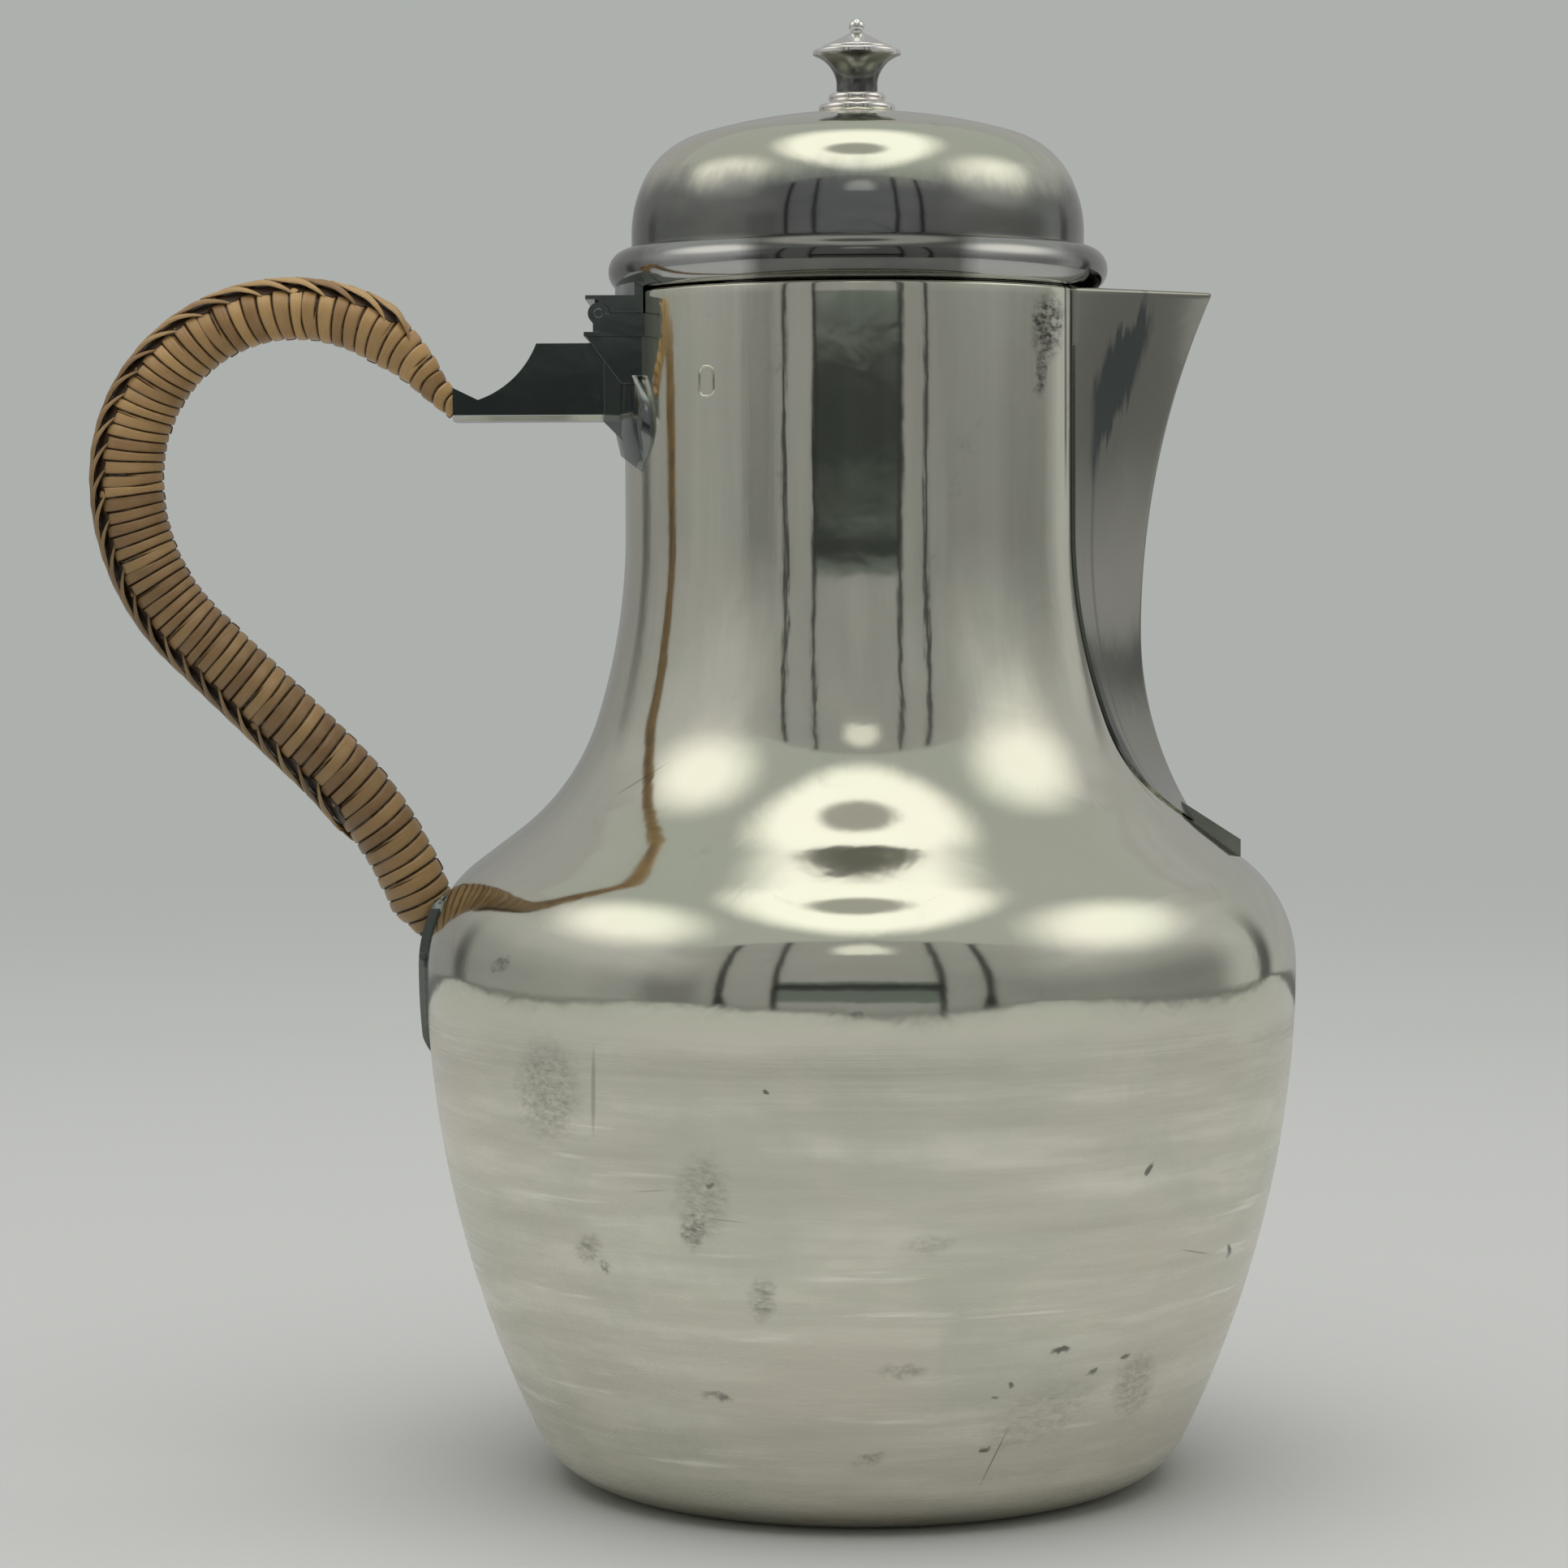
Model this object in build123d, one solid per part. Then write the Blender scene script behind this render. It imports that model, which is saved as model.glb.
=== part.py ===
"""A lidded silver milk jug with a cane-wrapped handle and a beak spout.

The vessel is raised from one sheet. Its lid turns on a box hinge behind the neck, above the
bracket of the handle. Sizes are in millimetres. Z is up, X points to the spout, and the origin
lies on the vessel's axis, on the table.
"""

from build123d import *

import os
from math import acos, asin, atan2, cos, degrees, hypot, pi, radians, sin, sqrt

# Vessel
wall = 1.0
belly_radius = 53.2
belly_height = 63.1
corner_radius = 10.6
lower_side_radius = 136.0
upper_side_radius = 123.0
upper_side_turn = 7.0
shoulder_radius = 15.7
shoulder_slope = 6.4
neck_sweep_radius = 27.6
neck_flare_radius = 75.0
neck_flare_turn = 17.8
neck_radius = 28.5
rim_height = 144.7

# Spout, a folded sheet with its keel towards +X
spout_reach = 14.8
spout_wall = 0.9
spout_half_width = 13.2
spout_bottom_height = 80.2
spout_round_bottom = 10.0
spout_fold_radius = 1.1
keel_waist_height = 103.5
keel_waist_gap = 5.0
keel_foot_gap = 0.51
spout_root = 4.0
spout_tuck = 1.5
spout_edge = 0.35
spout_sections = 5
spout_over_rim = 1.0
spout_lowest = 0.1
window_bottom_height = 100.0
window_rise = 16.0
heel_thickness = 1.6
heel_root_thickness = 1.0
heel_end_thickness = 2.1
heel_half_width = 2.6
heel_length = 7.6
heel_overlap = 2.5

# Lid
lid_wall = 0.9
lid_gap = 0.12
moulding_radius = 2.65
moulding_centre_radius = 27.75
dome_radius = 27.55
dome_straight = 1.85
dome_side_radius = 14.9
dome_side_turn = 25.2
dome_corner_radius = 10.4
dome_corner_turn = 48.1
bezel_wall = 0.8
bezel_depth = 4.6
bezel_clearance = 0.2
bezel_open_behind = 16.0

# Finial
collar_radius = 4.4
collar_height = 2.3
collar_ring_radius = 3.2
collar_band = 1.0
collar_step = 0.3
collar_bulge = 0.25
knob_waist_radius = 2.5
knob_waist_height = 1.3
knob_cup_radius = 5.35
knob_cup_rise = 3.4
knob_cup_middle_radius = 3.35
knob_cup_middle_rise = 2.05
knob_rim_height = 0.5
knob_edge = 0.8
knob_cap_radius = 4.05
knob_cap_height = 2.0
knob_cap_middle_radius = 2.5
knob_tip_radius = 0.95
knob_tip_neck_angle = -45.0
stud_radius = 1.0
stud_bore_clearance = 0.05
stud_grip = 2.5
stud_tail = 0.8
seat_depth = 0.4
nut_across_flats = 5.0
nut_height = 2.0
washer_radius = 3.6
washer_thickness = 0.5

# Hinge: its pin runs along Y, behind the neck
hinge_width = 25.0
hinge_knuckles = 5
pin_radius = 0.6
pin_head = 0.2
pin_rounding = 0.14
pin_from_neck = 2.6
pin_below_rim = 2.85
knuckle_radius = 1.3
knuckle_relief = 0.07
knuckle_end_gap = 0.1
bore_clearance = 0.05
leaf_plate = 0.5
leaf_web = 0.7
leaf_gap = 0.05
lid_lip_reach = 1.6
body_lip_reach = 1.8
hinge_rise = 2.15
hinge_drop = 2.7
upstand_reach = 1.85
rim_clearance = 0.15

# Plate on the neck, and the bracket that it carries
plate_thickness = 1.1
plate_half_width = 11.6
lobe_bulge = 2.4
plate_bevel = 4.8
lobe_top_drop = 10.2
lobe_tip_drop = 21.8
arch_drop = 19.5
web_thickness = 7.0
web_reach = 20.8
web_drop = 15.3
web_height = 9.4
web_end_height = 4.1
web_shelf = 10.2
web_dip = 2.6
web_dip_from_end = 3.1
web_sweep_along = 0.62
web_sweep_up = 0.4
web_edge_chamfer = 0.7
flare_reach = 2.6
flare_half_width = 11.4
flare_drop = 2.6
corbel_height = 5.6
corbel_reach = 4.2

# Handle: a tapering rod under wound cane. Its centre line is made of tangent arcs
handle_seat = 0.3
cane_lead = 0.8
rod_end_gap = 0.5
rod_step = 3.5
handle_start_rise = 2.2
handle_start_heading = 140.0
handle_neck_radius = 20.0
handle_neck_heading = 127.0
handle_top_radius = 20.2
handle_top_heading = 267.6
handle_side_radius = 26.2
handle_side_heading = 315.9
handle_straight = 21.5
handle_tail_radius = 49.2
handle_tail_heading = 288.3
handle_overrun = 2.5
grip_end_radius = 1.5
grip_top_radius = 3.35
grip_side_radius = 4.1
grip_foot_radius = 3.9
grip_tip_radius = 1.7
grip_end_taper = 13.0
grip_foot_blend = 25.0
grip_foot_taper = 5.5
cane_thickness = 0.9
cane_strip = 1.75
cane_flat = 0.5
cane_groove = 0.28
plait_height = 1.0
plait_edge = 0.35
plait_end_edge = 0.21
plait_half_angle = 27.0
plait_start = 9.0
plait_end_gap = 12.0
plait_step = 3.5
plait_clearance = 0.08

# Plate on the body where the handle lands
foot_thickness = 0.95
foot_half_width = 3.8
foot_above_landing = 3.4
foot_below_landing = 16.8
foot_bevel = 4.5
foot_bevel_along = 0.3
foot_bevel_depth = 0.3
foot_leaf_share = 0.62
foot_leaf_rise = 4.5
foot_top_share = 0.7
foot_top_drop = 0.6


def polar(centre, radius, angle):
    """Point at an angle in degrees round a centre in the X-Z plane."""
    return (centre[0] + radius * cos(radians(angle)), centre[1] + radius * sin(radians(angle)))


def at(point):
    """Point of the X-Z plane as a vector."""
    return Vector(point[0], 0, point[1])


def line(start, end):
    return Line(at(start), at(end))


def arc(centre, radius, first, last):
    """Arc about a centre, between two angles in degrees."""
    middle = (first + last) / 2
    return ThreePointArc(*(at(polar(centre, radius, a)) for a in (first, middle, last)))


def profile_face(*edges):
    return make_face(edges)


def turned(*edges):
    """Solid of revolution about the vessel's axis."""
    return revolve(profile_face(*edges), Axis.Z, 360)


def cylinder_along_y(radius, start, end, x, z):
    return Plane((x, start, z), x_dir=(1, 0, 0), z_dir=(0, 1, 0)) * extrude(Circle(radius), end - start)


def block(x0, x1, y0, y1, z0, z1):
    return Pos((x0 + x1) / 2, (y0 + y1) / 2, (z0 + z1) / 2) * Box(x1 - x0, y1 - y0, z1 - z0)


def ramp(value, start, end):
    """Smooth step from 0 to 1."""
    t = min(max((value - start) / (end - start), 0), 1)
    return t * t * (3 - 2 * t)


# Centres and joint angles of the vessel's outline, whose arcs are tangent to each other
side_centre = (belly_radius - upper_side_radius, belly_height)
low_centre = polar(side_centre, upper_side_radius - lower_side_radius, -upper_side_turn)
corner_offset = lower_side_radius - corner_radius
corner_x = low_centre[0] + sqrt(corner_offset**2 - (low_centre[1] - corner_radius) ** 2)
corner_centre = (corner_x, corner_radius)
corner_turn = degrees(asin((low_centre[1] - corner_radius) / corner_offset))
shoulder_centre = (belly_radius - shoulder_radius, belly_height)
flare_offset = neck_flare_radius - neck_sweep_radius
sweep_x = neck_radius + neck_flare_radius - flare_offset * cos(radians(neck_flare_turn))
sweep_span = hypot(shoulder_slope, shoulder_radius + neck_sweep_radius)
sweep_rise = sqrt(sweep_span**2 - (sweep_x - shoulder_centre[0]) ** 2)
sweep_centre = (sweep_x, belly_height + sweep_rise)
slope_angle = degrees(
    atan2(sweep_rise, sweep_x - shoulder_centre[0])
    - atan2(shoulder_slope, shoulder_radius + neck_sweep_radius)
)
flare_centre = polar(sweep_centre, flare_offset, neck_flare_turn)
neck_height = flare_centre[1]


def vessel_edges(inset, top):
    """Outline of the vessel from the axis to the rim, moved inwards by inset."""
    corner_r = corner_radius - inset
    low_r = lower_side_radius - inset
    side_r = upper_side_radius - inset
    shoulder_r = shoulder_radius - inset
    sweep_r = neck_sweep_radius + inset
    flare_r = neck_flare_radius + inset
    return [
        line((0, inset), (corner_x, inset)),
        arc(corner_centre, corner_r, -90, -corner_turn),
        arc(low_centre, low_r, -corner_turn, -upper_side_turn),
        arc(side_centre, side_r, -upper_side_turn, 0),
        arc(shoulder_centre, shoulder_r, 0, slope_angle),
        line(
            polar(shoulder_centre, shoulder_r, slope_angle),
            polar(sweep_centre, sweep_r, slope_angle + 180),
        ),
        arc(sweep_centre, sweep_r, slope_angle + 180, neck_flare_turn + 180),
        arc(flare_centre, flare_r, neck_flare_turn + 180, 180),
        line((neck_radius - inset, neck_height), (neck_radius - inset, top)),
    ]


def vessel_radius(z):
    """Outer radius of the vessel at a height above the belly's corner."""
    slope_bottom = polar(shoulder_centre, shoulder_radius, slope_angle)
    slope_top = polar(sweep_centre, neck_sweep_radius, slope_angle + 180)
    flare_bottom = polar(sweep_centre, neck_sweep_radius, neck_flare_turn + 180)[1]
    low_top = polar(low_centre, lower_side_radius, -upper_side_turn)[1]
    if z < low_top:
        return low_centre[0] + sqrt(lower_side_radius**2 - (z - low_centre[1]) ** 2)
    if z < belly_height:
        return side_centre[0] + sqrt(upper_side_radius**2 - (z - belly_height) ** 2)
    if z < slope_bottom[1]:
        return shoulder_centre[0] + sqrt(shoulder_radius**2 - (z - belly_height) ** 2)
    if z < slope_top[1]:
        share = (z - slope_bottom[1]) / (slope_top[1] - slope_bottom[1])
        return slope_bottom[0] + share * (slope_top[0] - slope_bottom[0])
    if z < flare_bottom:
        return sweep_centre[0] - sqrt(neck_sweep_radius**2 - (z - sweep_centre[1]) ** 2)
    if z < neck_height:
        return flare_centre[0] - sqrt(neck_flare_radius**2 - (z - neck_height) ** 2)
    return neck_radius


def shoulder_height(x):
    """Height of the shoulder's or neck's outer surface where its radius is x."""
    low, high = belly_height, neck_height
    for _ in range(40):
        middle = (low + high) / 2
        if vessel_radius(middle) > x:
            low = middle
        else:
            high = middle
    return low


def vessel_outer(top):
    """The vessel as if it were solid, up to a height."""
    edges = vessel_edges(0, top)
    return turned(*edges, line((neck_radius, top), (0, top)), line((0, top), (0, 0)))


def vessel_shell():
    outer = vessel_edges(0, rim_height)
    inner = vessel_edges(wall, rim_height)
    rim = line((neck_radius, rim_height), (neck_radius - wall, rim_height))
    return turned(*outer, rim, *inner, line((0, 0), (0, wall)))


# Spout
waist_x = vessel_radius(keel_waist_height) + keel_waist_gap
spout_tip_x = neck_radius + spout_reach
keel_rise = rim_height - keel_waist_height
keel_spread = spout_tip_x - waist_x
keel_top_radius = (keel_rise**2 + keel_spread**2) / (2 * keel_spread)
keel_drop = keel_waist_height - spout_bottom_height
keel_foot_spread = vessel_radius(spout_bottom_height) + keel_foot_gap - waist_x
keel_bottom_radius = (keel_drop**2 + keel_foot_spread**2) / (2 * keel_foot_spread)


def keel_x(z):
    """Distance of the spout's keel from the axis at a height: two arcs that meet at its waist."""
    radius = keel_top_radius if z > keel_waist_height else keel_bottom_radius
    return waist_x + radius - sqrt(radius**2 - (z - keel_waist_height) ** 2)


def spout_width(z):
    """Half the width of the spout where it meets the neck."""
    share = max(1 - (z - spout_bottom_height) / spout_round_bottom, 0)
    return spout_half_width * sqrt(1 - share**2)


def spout_section(z, inset):
    """Section of the folded sheet at a height, its sides tangent to the round fold."""
    half = spout_width(z)
    joint = Vector(sqrt(vessel_radius(z) ** 2 - half**2) + spout_edge, half)
    centre = Vector(keel_x(z) - spout_fold_radius, 0)
    reach = joint - centre
    facing = degrees(atan2(reach.Y, reach.X) - acos(spout_fold_radius / reach.length))
    normal = Vector(1, 0).rotate(Axis.Z, facing)
    along = Vector(-normal.Y, normal.X)
    tangent = centre + normal * (spout_fold_radius - inset)
    edge = joint - normal * inset + along * spout_tuck
    root = Vector(edge.X - spout_root, edge.Y)
    tip = centre + Vector(spout_fold_radius - inset, 0)
    upper = [Vector(p.X, p.Y, z) for p in (tangent, edge, root)]
    lower = [Vector(p.X, -p.Y, z) for p in (tangent, edge, root)]
    fold = ThreePointArc(lower[0], Vector(tip.X, 0, z), upper[0])
    sides = [Line(upper[0], upper[1]), Line(upper[1], upper[2]), Line(upper[2], lower[2])]
    sides += [Line(lower[2], lower[1]), Line(lower[1], lower[0])]
    return make_face([fold] + sides)


def spout_body(inset, bottom):
    """The spout as if it were solid: its rounded foot and the even part above it."""
    round_top = spout_bottom_height + spout_round_bottom
    turn = pi / 2 / (spout_sections - 1)
    low = [round_top - (round_top - bottom) * cos(turn * number) for number in range(spout_sections)]
    step = (rim_height + spout_over_rim - round_top) / spout_sections
    high = [round_top + step * number for number in range(spout_sections + 1)]
    return loft([spout_section(z, inset) for z in low]) + loft([spout_section(z, inset) for z in high])


def spout_outline(widened):
    """Prism along X whose outline is the spout's joint with the neck."""
    half = spout_half_width + widened
    round_top = spout_bottom_height + spout_round_bottom
    height = 2 * rim_height - round_top
    sides = Plane.YZ * Pos(0, round_top + height / 2) * Rectangle(2 * half, height)
    bottom = Plane.YZ * Pos(0, round_top) * Ellipse(half, spout_round_bottom + widened)
    return extrude(sides + bottom, 2 * spout_tip_x)


def spout_window():
    """The V that is cut from the neck behind the spout."""
    shoulders = window_bottom_height + window_rise
    top = rim_height + spout_over_rim
    outline = Polyline(
        (0, 0, window_bottom_height),
        (0, spout_half_width, shoulders),
        (0, spout_half_width, top),
        (0, -spout_half_width, top),
        (0, -spout_half_width, shoulders),
        close=True,
    )
    return extrude(make_face(outline), spout_tip_x, dir=(1, 0, 0))


def spout_pieces():
    """The folded sheet, the channel inside it, and the heel that runs down the shoulder."""
    above = block(0, 2 * spout_tip_x, -belly_radius, belly_radius, rim_height, 2 * rim_height)
    beak = spout_body(0, spout_bottom_height + spout_lowest) & spout_outline(0)
    channel = spout_body(spout_wall, spout_bottom_height + spout_wall * 2) & spout_outline(-spout_wall)
    return beak - channel - vessel_outer(2 * rim_height) - above, beak, channel


def spout_heel(outer, beak):
    """Square-ended tongue on the shoulder, from the foot of the keel outwards."""
    start_x = keel_x(spout_bottom_height) - heel_overlap
    end_x = start_x + heel_length
    start_z = shoulder_height(start_x) + heel_root_thickness
    end_z = shoulder_height(end_x) + heel_end_thickness
    under = shoulder_height(end_x) - heel_thickness
    corners = [(start_x, start_z), (end_x, end_z), (end_x, under), (start_x, under)]
    outline = Polyline(*(at(corner) for corner in corners), close=True)
    tongue = extrude(make_face(outline), heel_half_width, dir=(0, 1, 0), both=True)
    return tongue - outer - beak


# Lid
moulding_height = rim_height + lid_gap + moulding_radius
dome_height = moulding_height + sqrt(moulding_radius**2 - (moulding_centre_radius - dome_radius) ** 2)
dome_side_height = dome_height + dome_straight
dome_side_centre = (dome_radius - dome_side_radius, dome_side_height)
dome_corner_centre = polar(dome_side_centre, dome_side_radius - dome_corner_radius, dome_side_turn)
crown_angle = dome_side_turn + dome_corner_turn
crown_start = polar(dome_corner_centre, dome_corner_radius, crown_angle)
crown_radius = crown_start[0] / cos(radians(crown_angle))
crown_centre = (0, crown_start[1] - crown_radius * sin(radians(crown_angle)))
lid_top = crown_centre[1] + crown_radius


def dome_edges(inset, bottom):
    """Outline of the lid's dome from its lower edge to the axis, moved inwards by inset."""
    side_r = dome_side_radius - inset
    return [
        line((dome_radius - inset, bottom), (dome_radius - inset, dome_side_height)),
        arc(dome_side_centre, side_r, 0, dome_side_turn),
        arc(dome_corner_centre, dome_corner_radius - inset, dome_side_turn, crown_angle),
        arc(crown_centre, crown_radius - inset, crown_angle, 90),
    ]


def moulding_solid():
    """Round moulding that closes over the rim, before its inner side is trimmed."""
    section = Plane.XZ * Pos(moulding_centre_radius, moulding_height) * Circle(moulding_radius)
    return revolve(section, Axis.Z, 360)


def lid_pieces():
    """The dome, the moulding at its edge and the bezel that drops inside the neck."""
    bead = moulding_solid()
    bezel_radius = neck_radius - wall - bezel_clearance
    inner = bezel_radius - bezel_wall
    core = Pos(0, 0, moulding_height) * Cylinder(inner, 2 * moulding_radius + 1)
    bottom = moulding_height
    dome = turned(
        *dome_edges(0, bottom),
        line((0, lid_top), (0, lid_top - lid_wall)),
        *dome_edges(lid_wall, bottom),
        line((dome_radius, bottom), (dome_radius - lid_wall, bottom)),
    )
    low = rim_height - bezel_depth
    ring = turned(
        line((inner, low), (bezel_radius, low)),
        line((bezel_radius, low), (bezel_radius, moulding_height)),
        line((bezel_radius, moulding_height), (inner, moulding_height)),
        line((inner, moulding_height), (inner, low)),
    )
    free = rim_height + lid_gap / 2
    swing_room = block(-neck_radius, -bezel_open_behind, -neck_radius, neck_radius, 0, free)
    return dome - bead, bead - core, ring - bead - swing_room


# Finial, held by a threaded stud through the dome
collar_top = lid_top + collar_height
cup_height = collar_top + knob_waist_height + knob_cup_rise
cap_top = cup_height + knob_edge + knob_cap_height
tip_height = cap_top - knob_tip_radius * sin(radians(knob_tip_neck_angle))
crown_under = lid_top - lid_wall


def finial_collar(dome):
    """Stacked rings at the foot of the finial, seated on the crown."""
    band_top = lid_top + collar_band
    ring_start = collar_top - collar_band
    seat = lid_top - seat_depth
    collar = turned(
        line((stud_radius, seat), (collar_radius, seat)),
        line((collar_radius, seat), (collar_radius, lid_top)),
        ThreePointArc(
            at((collar_radius, lid_top)),
            at((collar_radius + collar_bulge, (lid_top + band_top) / 2)),
            at((collar_radius, band_top)),
        ),
        line((collar_radius, band_top), (collar_ring_radius, band_top + collar_step / 2)),
        line((collar_ring_radius, band_top + collar_step / 2), (collar_ring_radius, ring_start)),
        ThreePointArc(
            at((collar_ring_radius, ring_start)),
            at((collar_ring_radius + collar_bulge, (ring_start + collar_top) / 2)),
            at((collar_ring_radius, collar_top)),
        ),
        line((collar_ring_radius, collar_top), (stud_radius, collar_top)),
        line((stud_radius, collar_top), (stud_radius, seat)),
    )
    return collar - dome


def finial_knob(stud):
    """Turned knob: narrow waist, flared cup with a stepped edge, domed cap and small tip."""
    waist_end = (knob_waist_radius, collar_top + knob_waist_height)
    cup_end = (knob_cup_radius, cup_height)
    cup_middle = (knob_cup_middle_radius, waist_end[1] + knob_cup_middle_rise)
    edge_end = (knob_cup_radius, cup_height + knob_rim_height)
    cap_foot = (knob_cap_radius, cup_height + knob_edge)
    tip_centre = (0, tip_height)
    cap_end = polar(tip_centre, knob_tip_radius, knob_tip_neck_angle)
    cap_middle = (knob_cap_middle_radius, cap_foot[1] + knob_cap_height / 2)
    tip_end = (0, tip_height + knob_tip_radius)
    knob = turned(
        line((0, collar_top), (knob_waist_radius, collar_top)),
        line((knob_waist_radius, collar_top), waist_end),
        ThreePointArc(at(waist_end), at(cup_middle), at(cup_end)),
        line(cup_end, edge_end),
        line(edge_end, cap_foot),
        ThreePointArc(at(cap_foot), at(cap_middle), at(cap_end)),
        arc(tip_centre, knob_tip_radius, knob_tip_neck_angle, 90),
        line(tip_end, (0, collar_top)),
    )
    return knob - stud


def finial_stud():
    bottom = crown_under - washer_thickness - nut_height - stud_tail
    return block_of_revolution(stud_radius, bottom, collar_top + stud_grip)


def block_of_revolution(radius, bottom, top):
    return Pos(0, 0, (bottom + top) / 2) * Cylinder(radius, top - bottom)


def finial_fixings(dome):
    """Washer and hexagon nut under the crown."""
    hole = block_of_revolution(stud_radius, 0, lid_top)
    under = crown_under - washer_thickness
    washer = block_of_revolution(washer_radius, under, crown_under) - dome - hole
    hexagon = extrude(RegularPolygon(nut_across_flats / 2, 6, major_radius=False), -nut_height)
    return washer, Pos(0, 0, under) * hexagon - hole


# Hinge
pin_x = -neck_radius - pin_from_neck
pin_z = rim_height - pin_below_rim
hinge_bottom = pin_z - hinge_drop
hinge_top = pin_z + hinge_rise
hinge_half = hinge_width / 2
knuckle_length = hinge_width / hinge_knuckles


def knuckle(number, radius, gap):
    """Cylinder along the pin over one knuckle's share of the hinge, shortened by gap at each end."""
    start = -hinge_half + number * knuckle_length + gap
    return cylinder_along_y(radius, start, start + knuckle_length - 2 * gap, pin_x, pin_z)


def hinge_leaf(block_z, plate_z, lip_reach, own, other):
    """One leaf: a block behind the pin, a plate with a lip, and its own knuckles with webs."""
    inside_x = -neck_radius / 2
    low, high = sorted(block_z)
    leaf = block(pin_x, inside_x, -hinge_half, hinge_half, low, high)
    leaf += block(pin_x - lip_reach, inside_x, -hinge_half, hinge_half, *plate_z)
    for number in other:
        leaf -= knuckle(number, knuckle_radius + knuckle_relief, -knuckle_end_gap / 2)
    for number in own:
        start = -hinge_half + number * knuckle_length + knuckle_end_gap / 2
        end = start + knuckle_length - knuckle_end_gap
        plate_middle = sum(plate_z) / 2
        web_z = sorted((pin_z, plate_middle))
        leaf += block(pin_x - leaf_web, pin_x, start, end, *web_z)
        leaf += knuckle(number, knuckle_radius, knuckle_end_gap / 2)
    return leaf


def hinge_pieces(outer, moulding, dome):
    """Leaf on the body, leaf on the lid, and the pin through both."""
    body_knuckles = range(0, hinge_knuckles, 2)
    lid_knuckles = range(1, hinge_knuckles, 2)
    pin = cylinder_along_y(pin_radius, -hinge_half - pin_head, hinge_half + pin_head, pin_x, pin_z)
    pin = fillet(pin.edges().filter_by(GeomType.CIRCLE), pin_rounding)
    body_leaf = hinge_leaf(
        (hinge_bottom, pin_z - leaf_gap),
        (hinge_bottom, hinge_bottom + leaf_plate),
        body_lip_reach,
        body_knuckles,
        lid_knuckles,
    )
    lid_leaf = hinge_leaf(
        (pin_z + leaf_gap, hinge_top),
        (hinge_top - leaf_plate, hinge_top),
        lid_lip_reach,
        lid_knuckles,
        body_knuckles,
    )
    upstand = block(pin_x, -neck_radius / 2, -hinge_half, hinge_half, hinge_top - leaf_plate, moulding_height)
    lid_leaf += upstand & block_of_revolution(moulding_centre_radius + upstand_reach, 0, 2 * rim_height)
    clear = cylinder_along_y(pin_radius + bore_clearance, -hinge_width, hinge_width, pin_x, pin_z)
    bore = cylinder_along_y(pin_radius, -hinge_width, hinge_width, pin_x, pin_z)
    swing_room = block_of_revolution(neck_radius + rim_clearance, 0, 2 * rim_height)
    return body_leaf - bore - outer, lid_leaf - clear - swing_room - moulding - dome, pin


# Plate on the neck and the bracket
web_bottom = rim_height - web_drop
web_end_x = -neck_radius - web_reach


def lifted_skin(outer, lift):
    """Layer of even thickness on the vessel's outside."""
    edges = vessel_edges(-lift, rim_height)
    radius = neck_radius + lift
    top = line((radius, rim_height), (0, rim_height))
    return turned(*edges, top, line((0, rim_height), (0, -lift))) - outer


def neck_plate(outer):
    """Plate with a lobe at each side and an arch between them, bent round the neck and thinned below."""
    half = plate_half_width
    lobe_top = rim_height - lobe_top_drop
    lobe_tip = rim_height - lobe_tip_drop
    lobe_side = half + lobe_bulge
    lobe_middle = (lobe_top + lobe_tip) / 2
    arch = rim_height - arch_drop
    corner = Vector(0, half, hinge_bottom)
    shoulder = Vector(0, half, lobe_top)
    side = Vector(0, lobe_side, lobe_middle)
    tip = Vector(0, half, lobe_tip)
    middle = Vector(0, 0, arch)
    right = [
        Line(corner, shoulder),
        ThreePointArc(shoulder, side, tip),
        ThreePointArc(tip, Vector(0, half / 2, (arch + lobe_tip) / 2 + lobe_bulge / 4), middle),
    ]
    left = [edge.mirror(Plane.XZ) for edge in right]
    top = Line(Vector(0, -half, hinge_bottom), corner)
    outline = make_face([top] + right + left)
    radius = vessel_radius(lobe_tip)
    bevel_top = (radius + plate_thickness, lobe_tip + plate_bevel)
    below = (radius + 2 * plate_thickness, lobe_tip)
    above = (below[0], bevel_top[1])
    bevel = turned(line((radius, lobe_tip), bevel_top), line(bevel_top, above), line(above, below),
                   line(below, (radius, lobe_tip)))
    plate = lifted_skin(outer, plate_thickness) & extrude(outline, 2 * neck_radius, dir=(-1, 0, 0))
    return plate - bevel


def tapered_block(wide, narrow):
    """Ruled solid between two rectangles, each given as four corners."""
    ends = [make_face(Polyline(*corners, close=True)) for corners in (wide, narrow)]
    return loft(ends, ruled=True)


def rectangle_across_x(x, half, low, high):
    return [(x, -half, low), (x, half, low), (x, half, high), (x, -half, high)]


def rectangle_across_z(z, x, half):
    deep = -neck_radius / 2
    return [(x, -half, z), (deep, -half, z), (deep, half, z), (x, half, z)]


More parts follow.
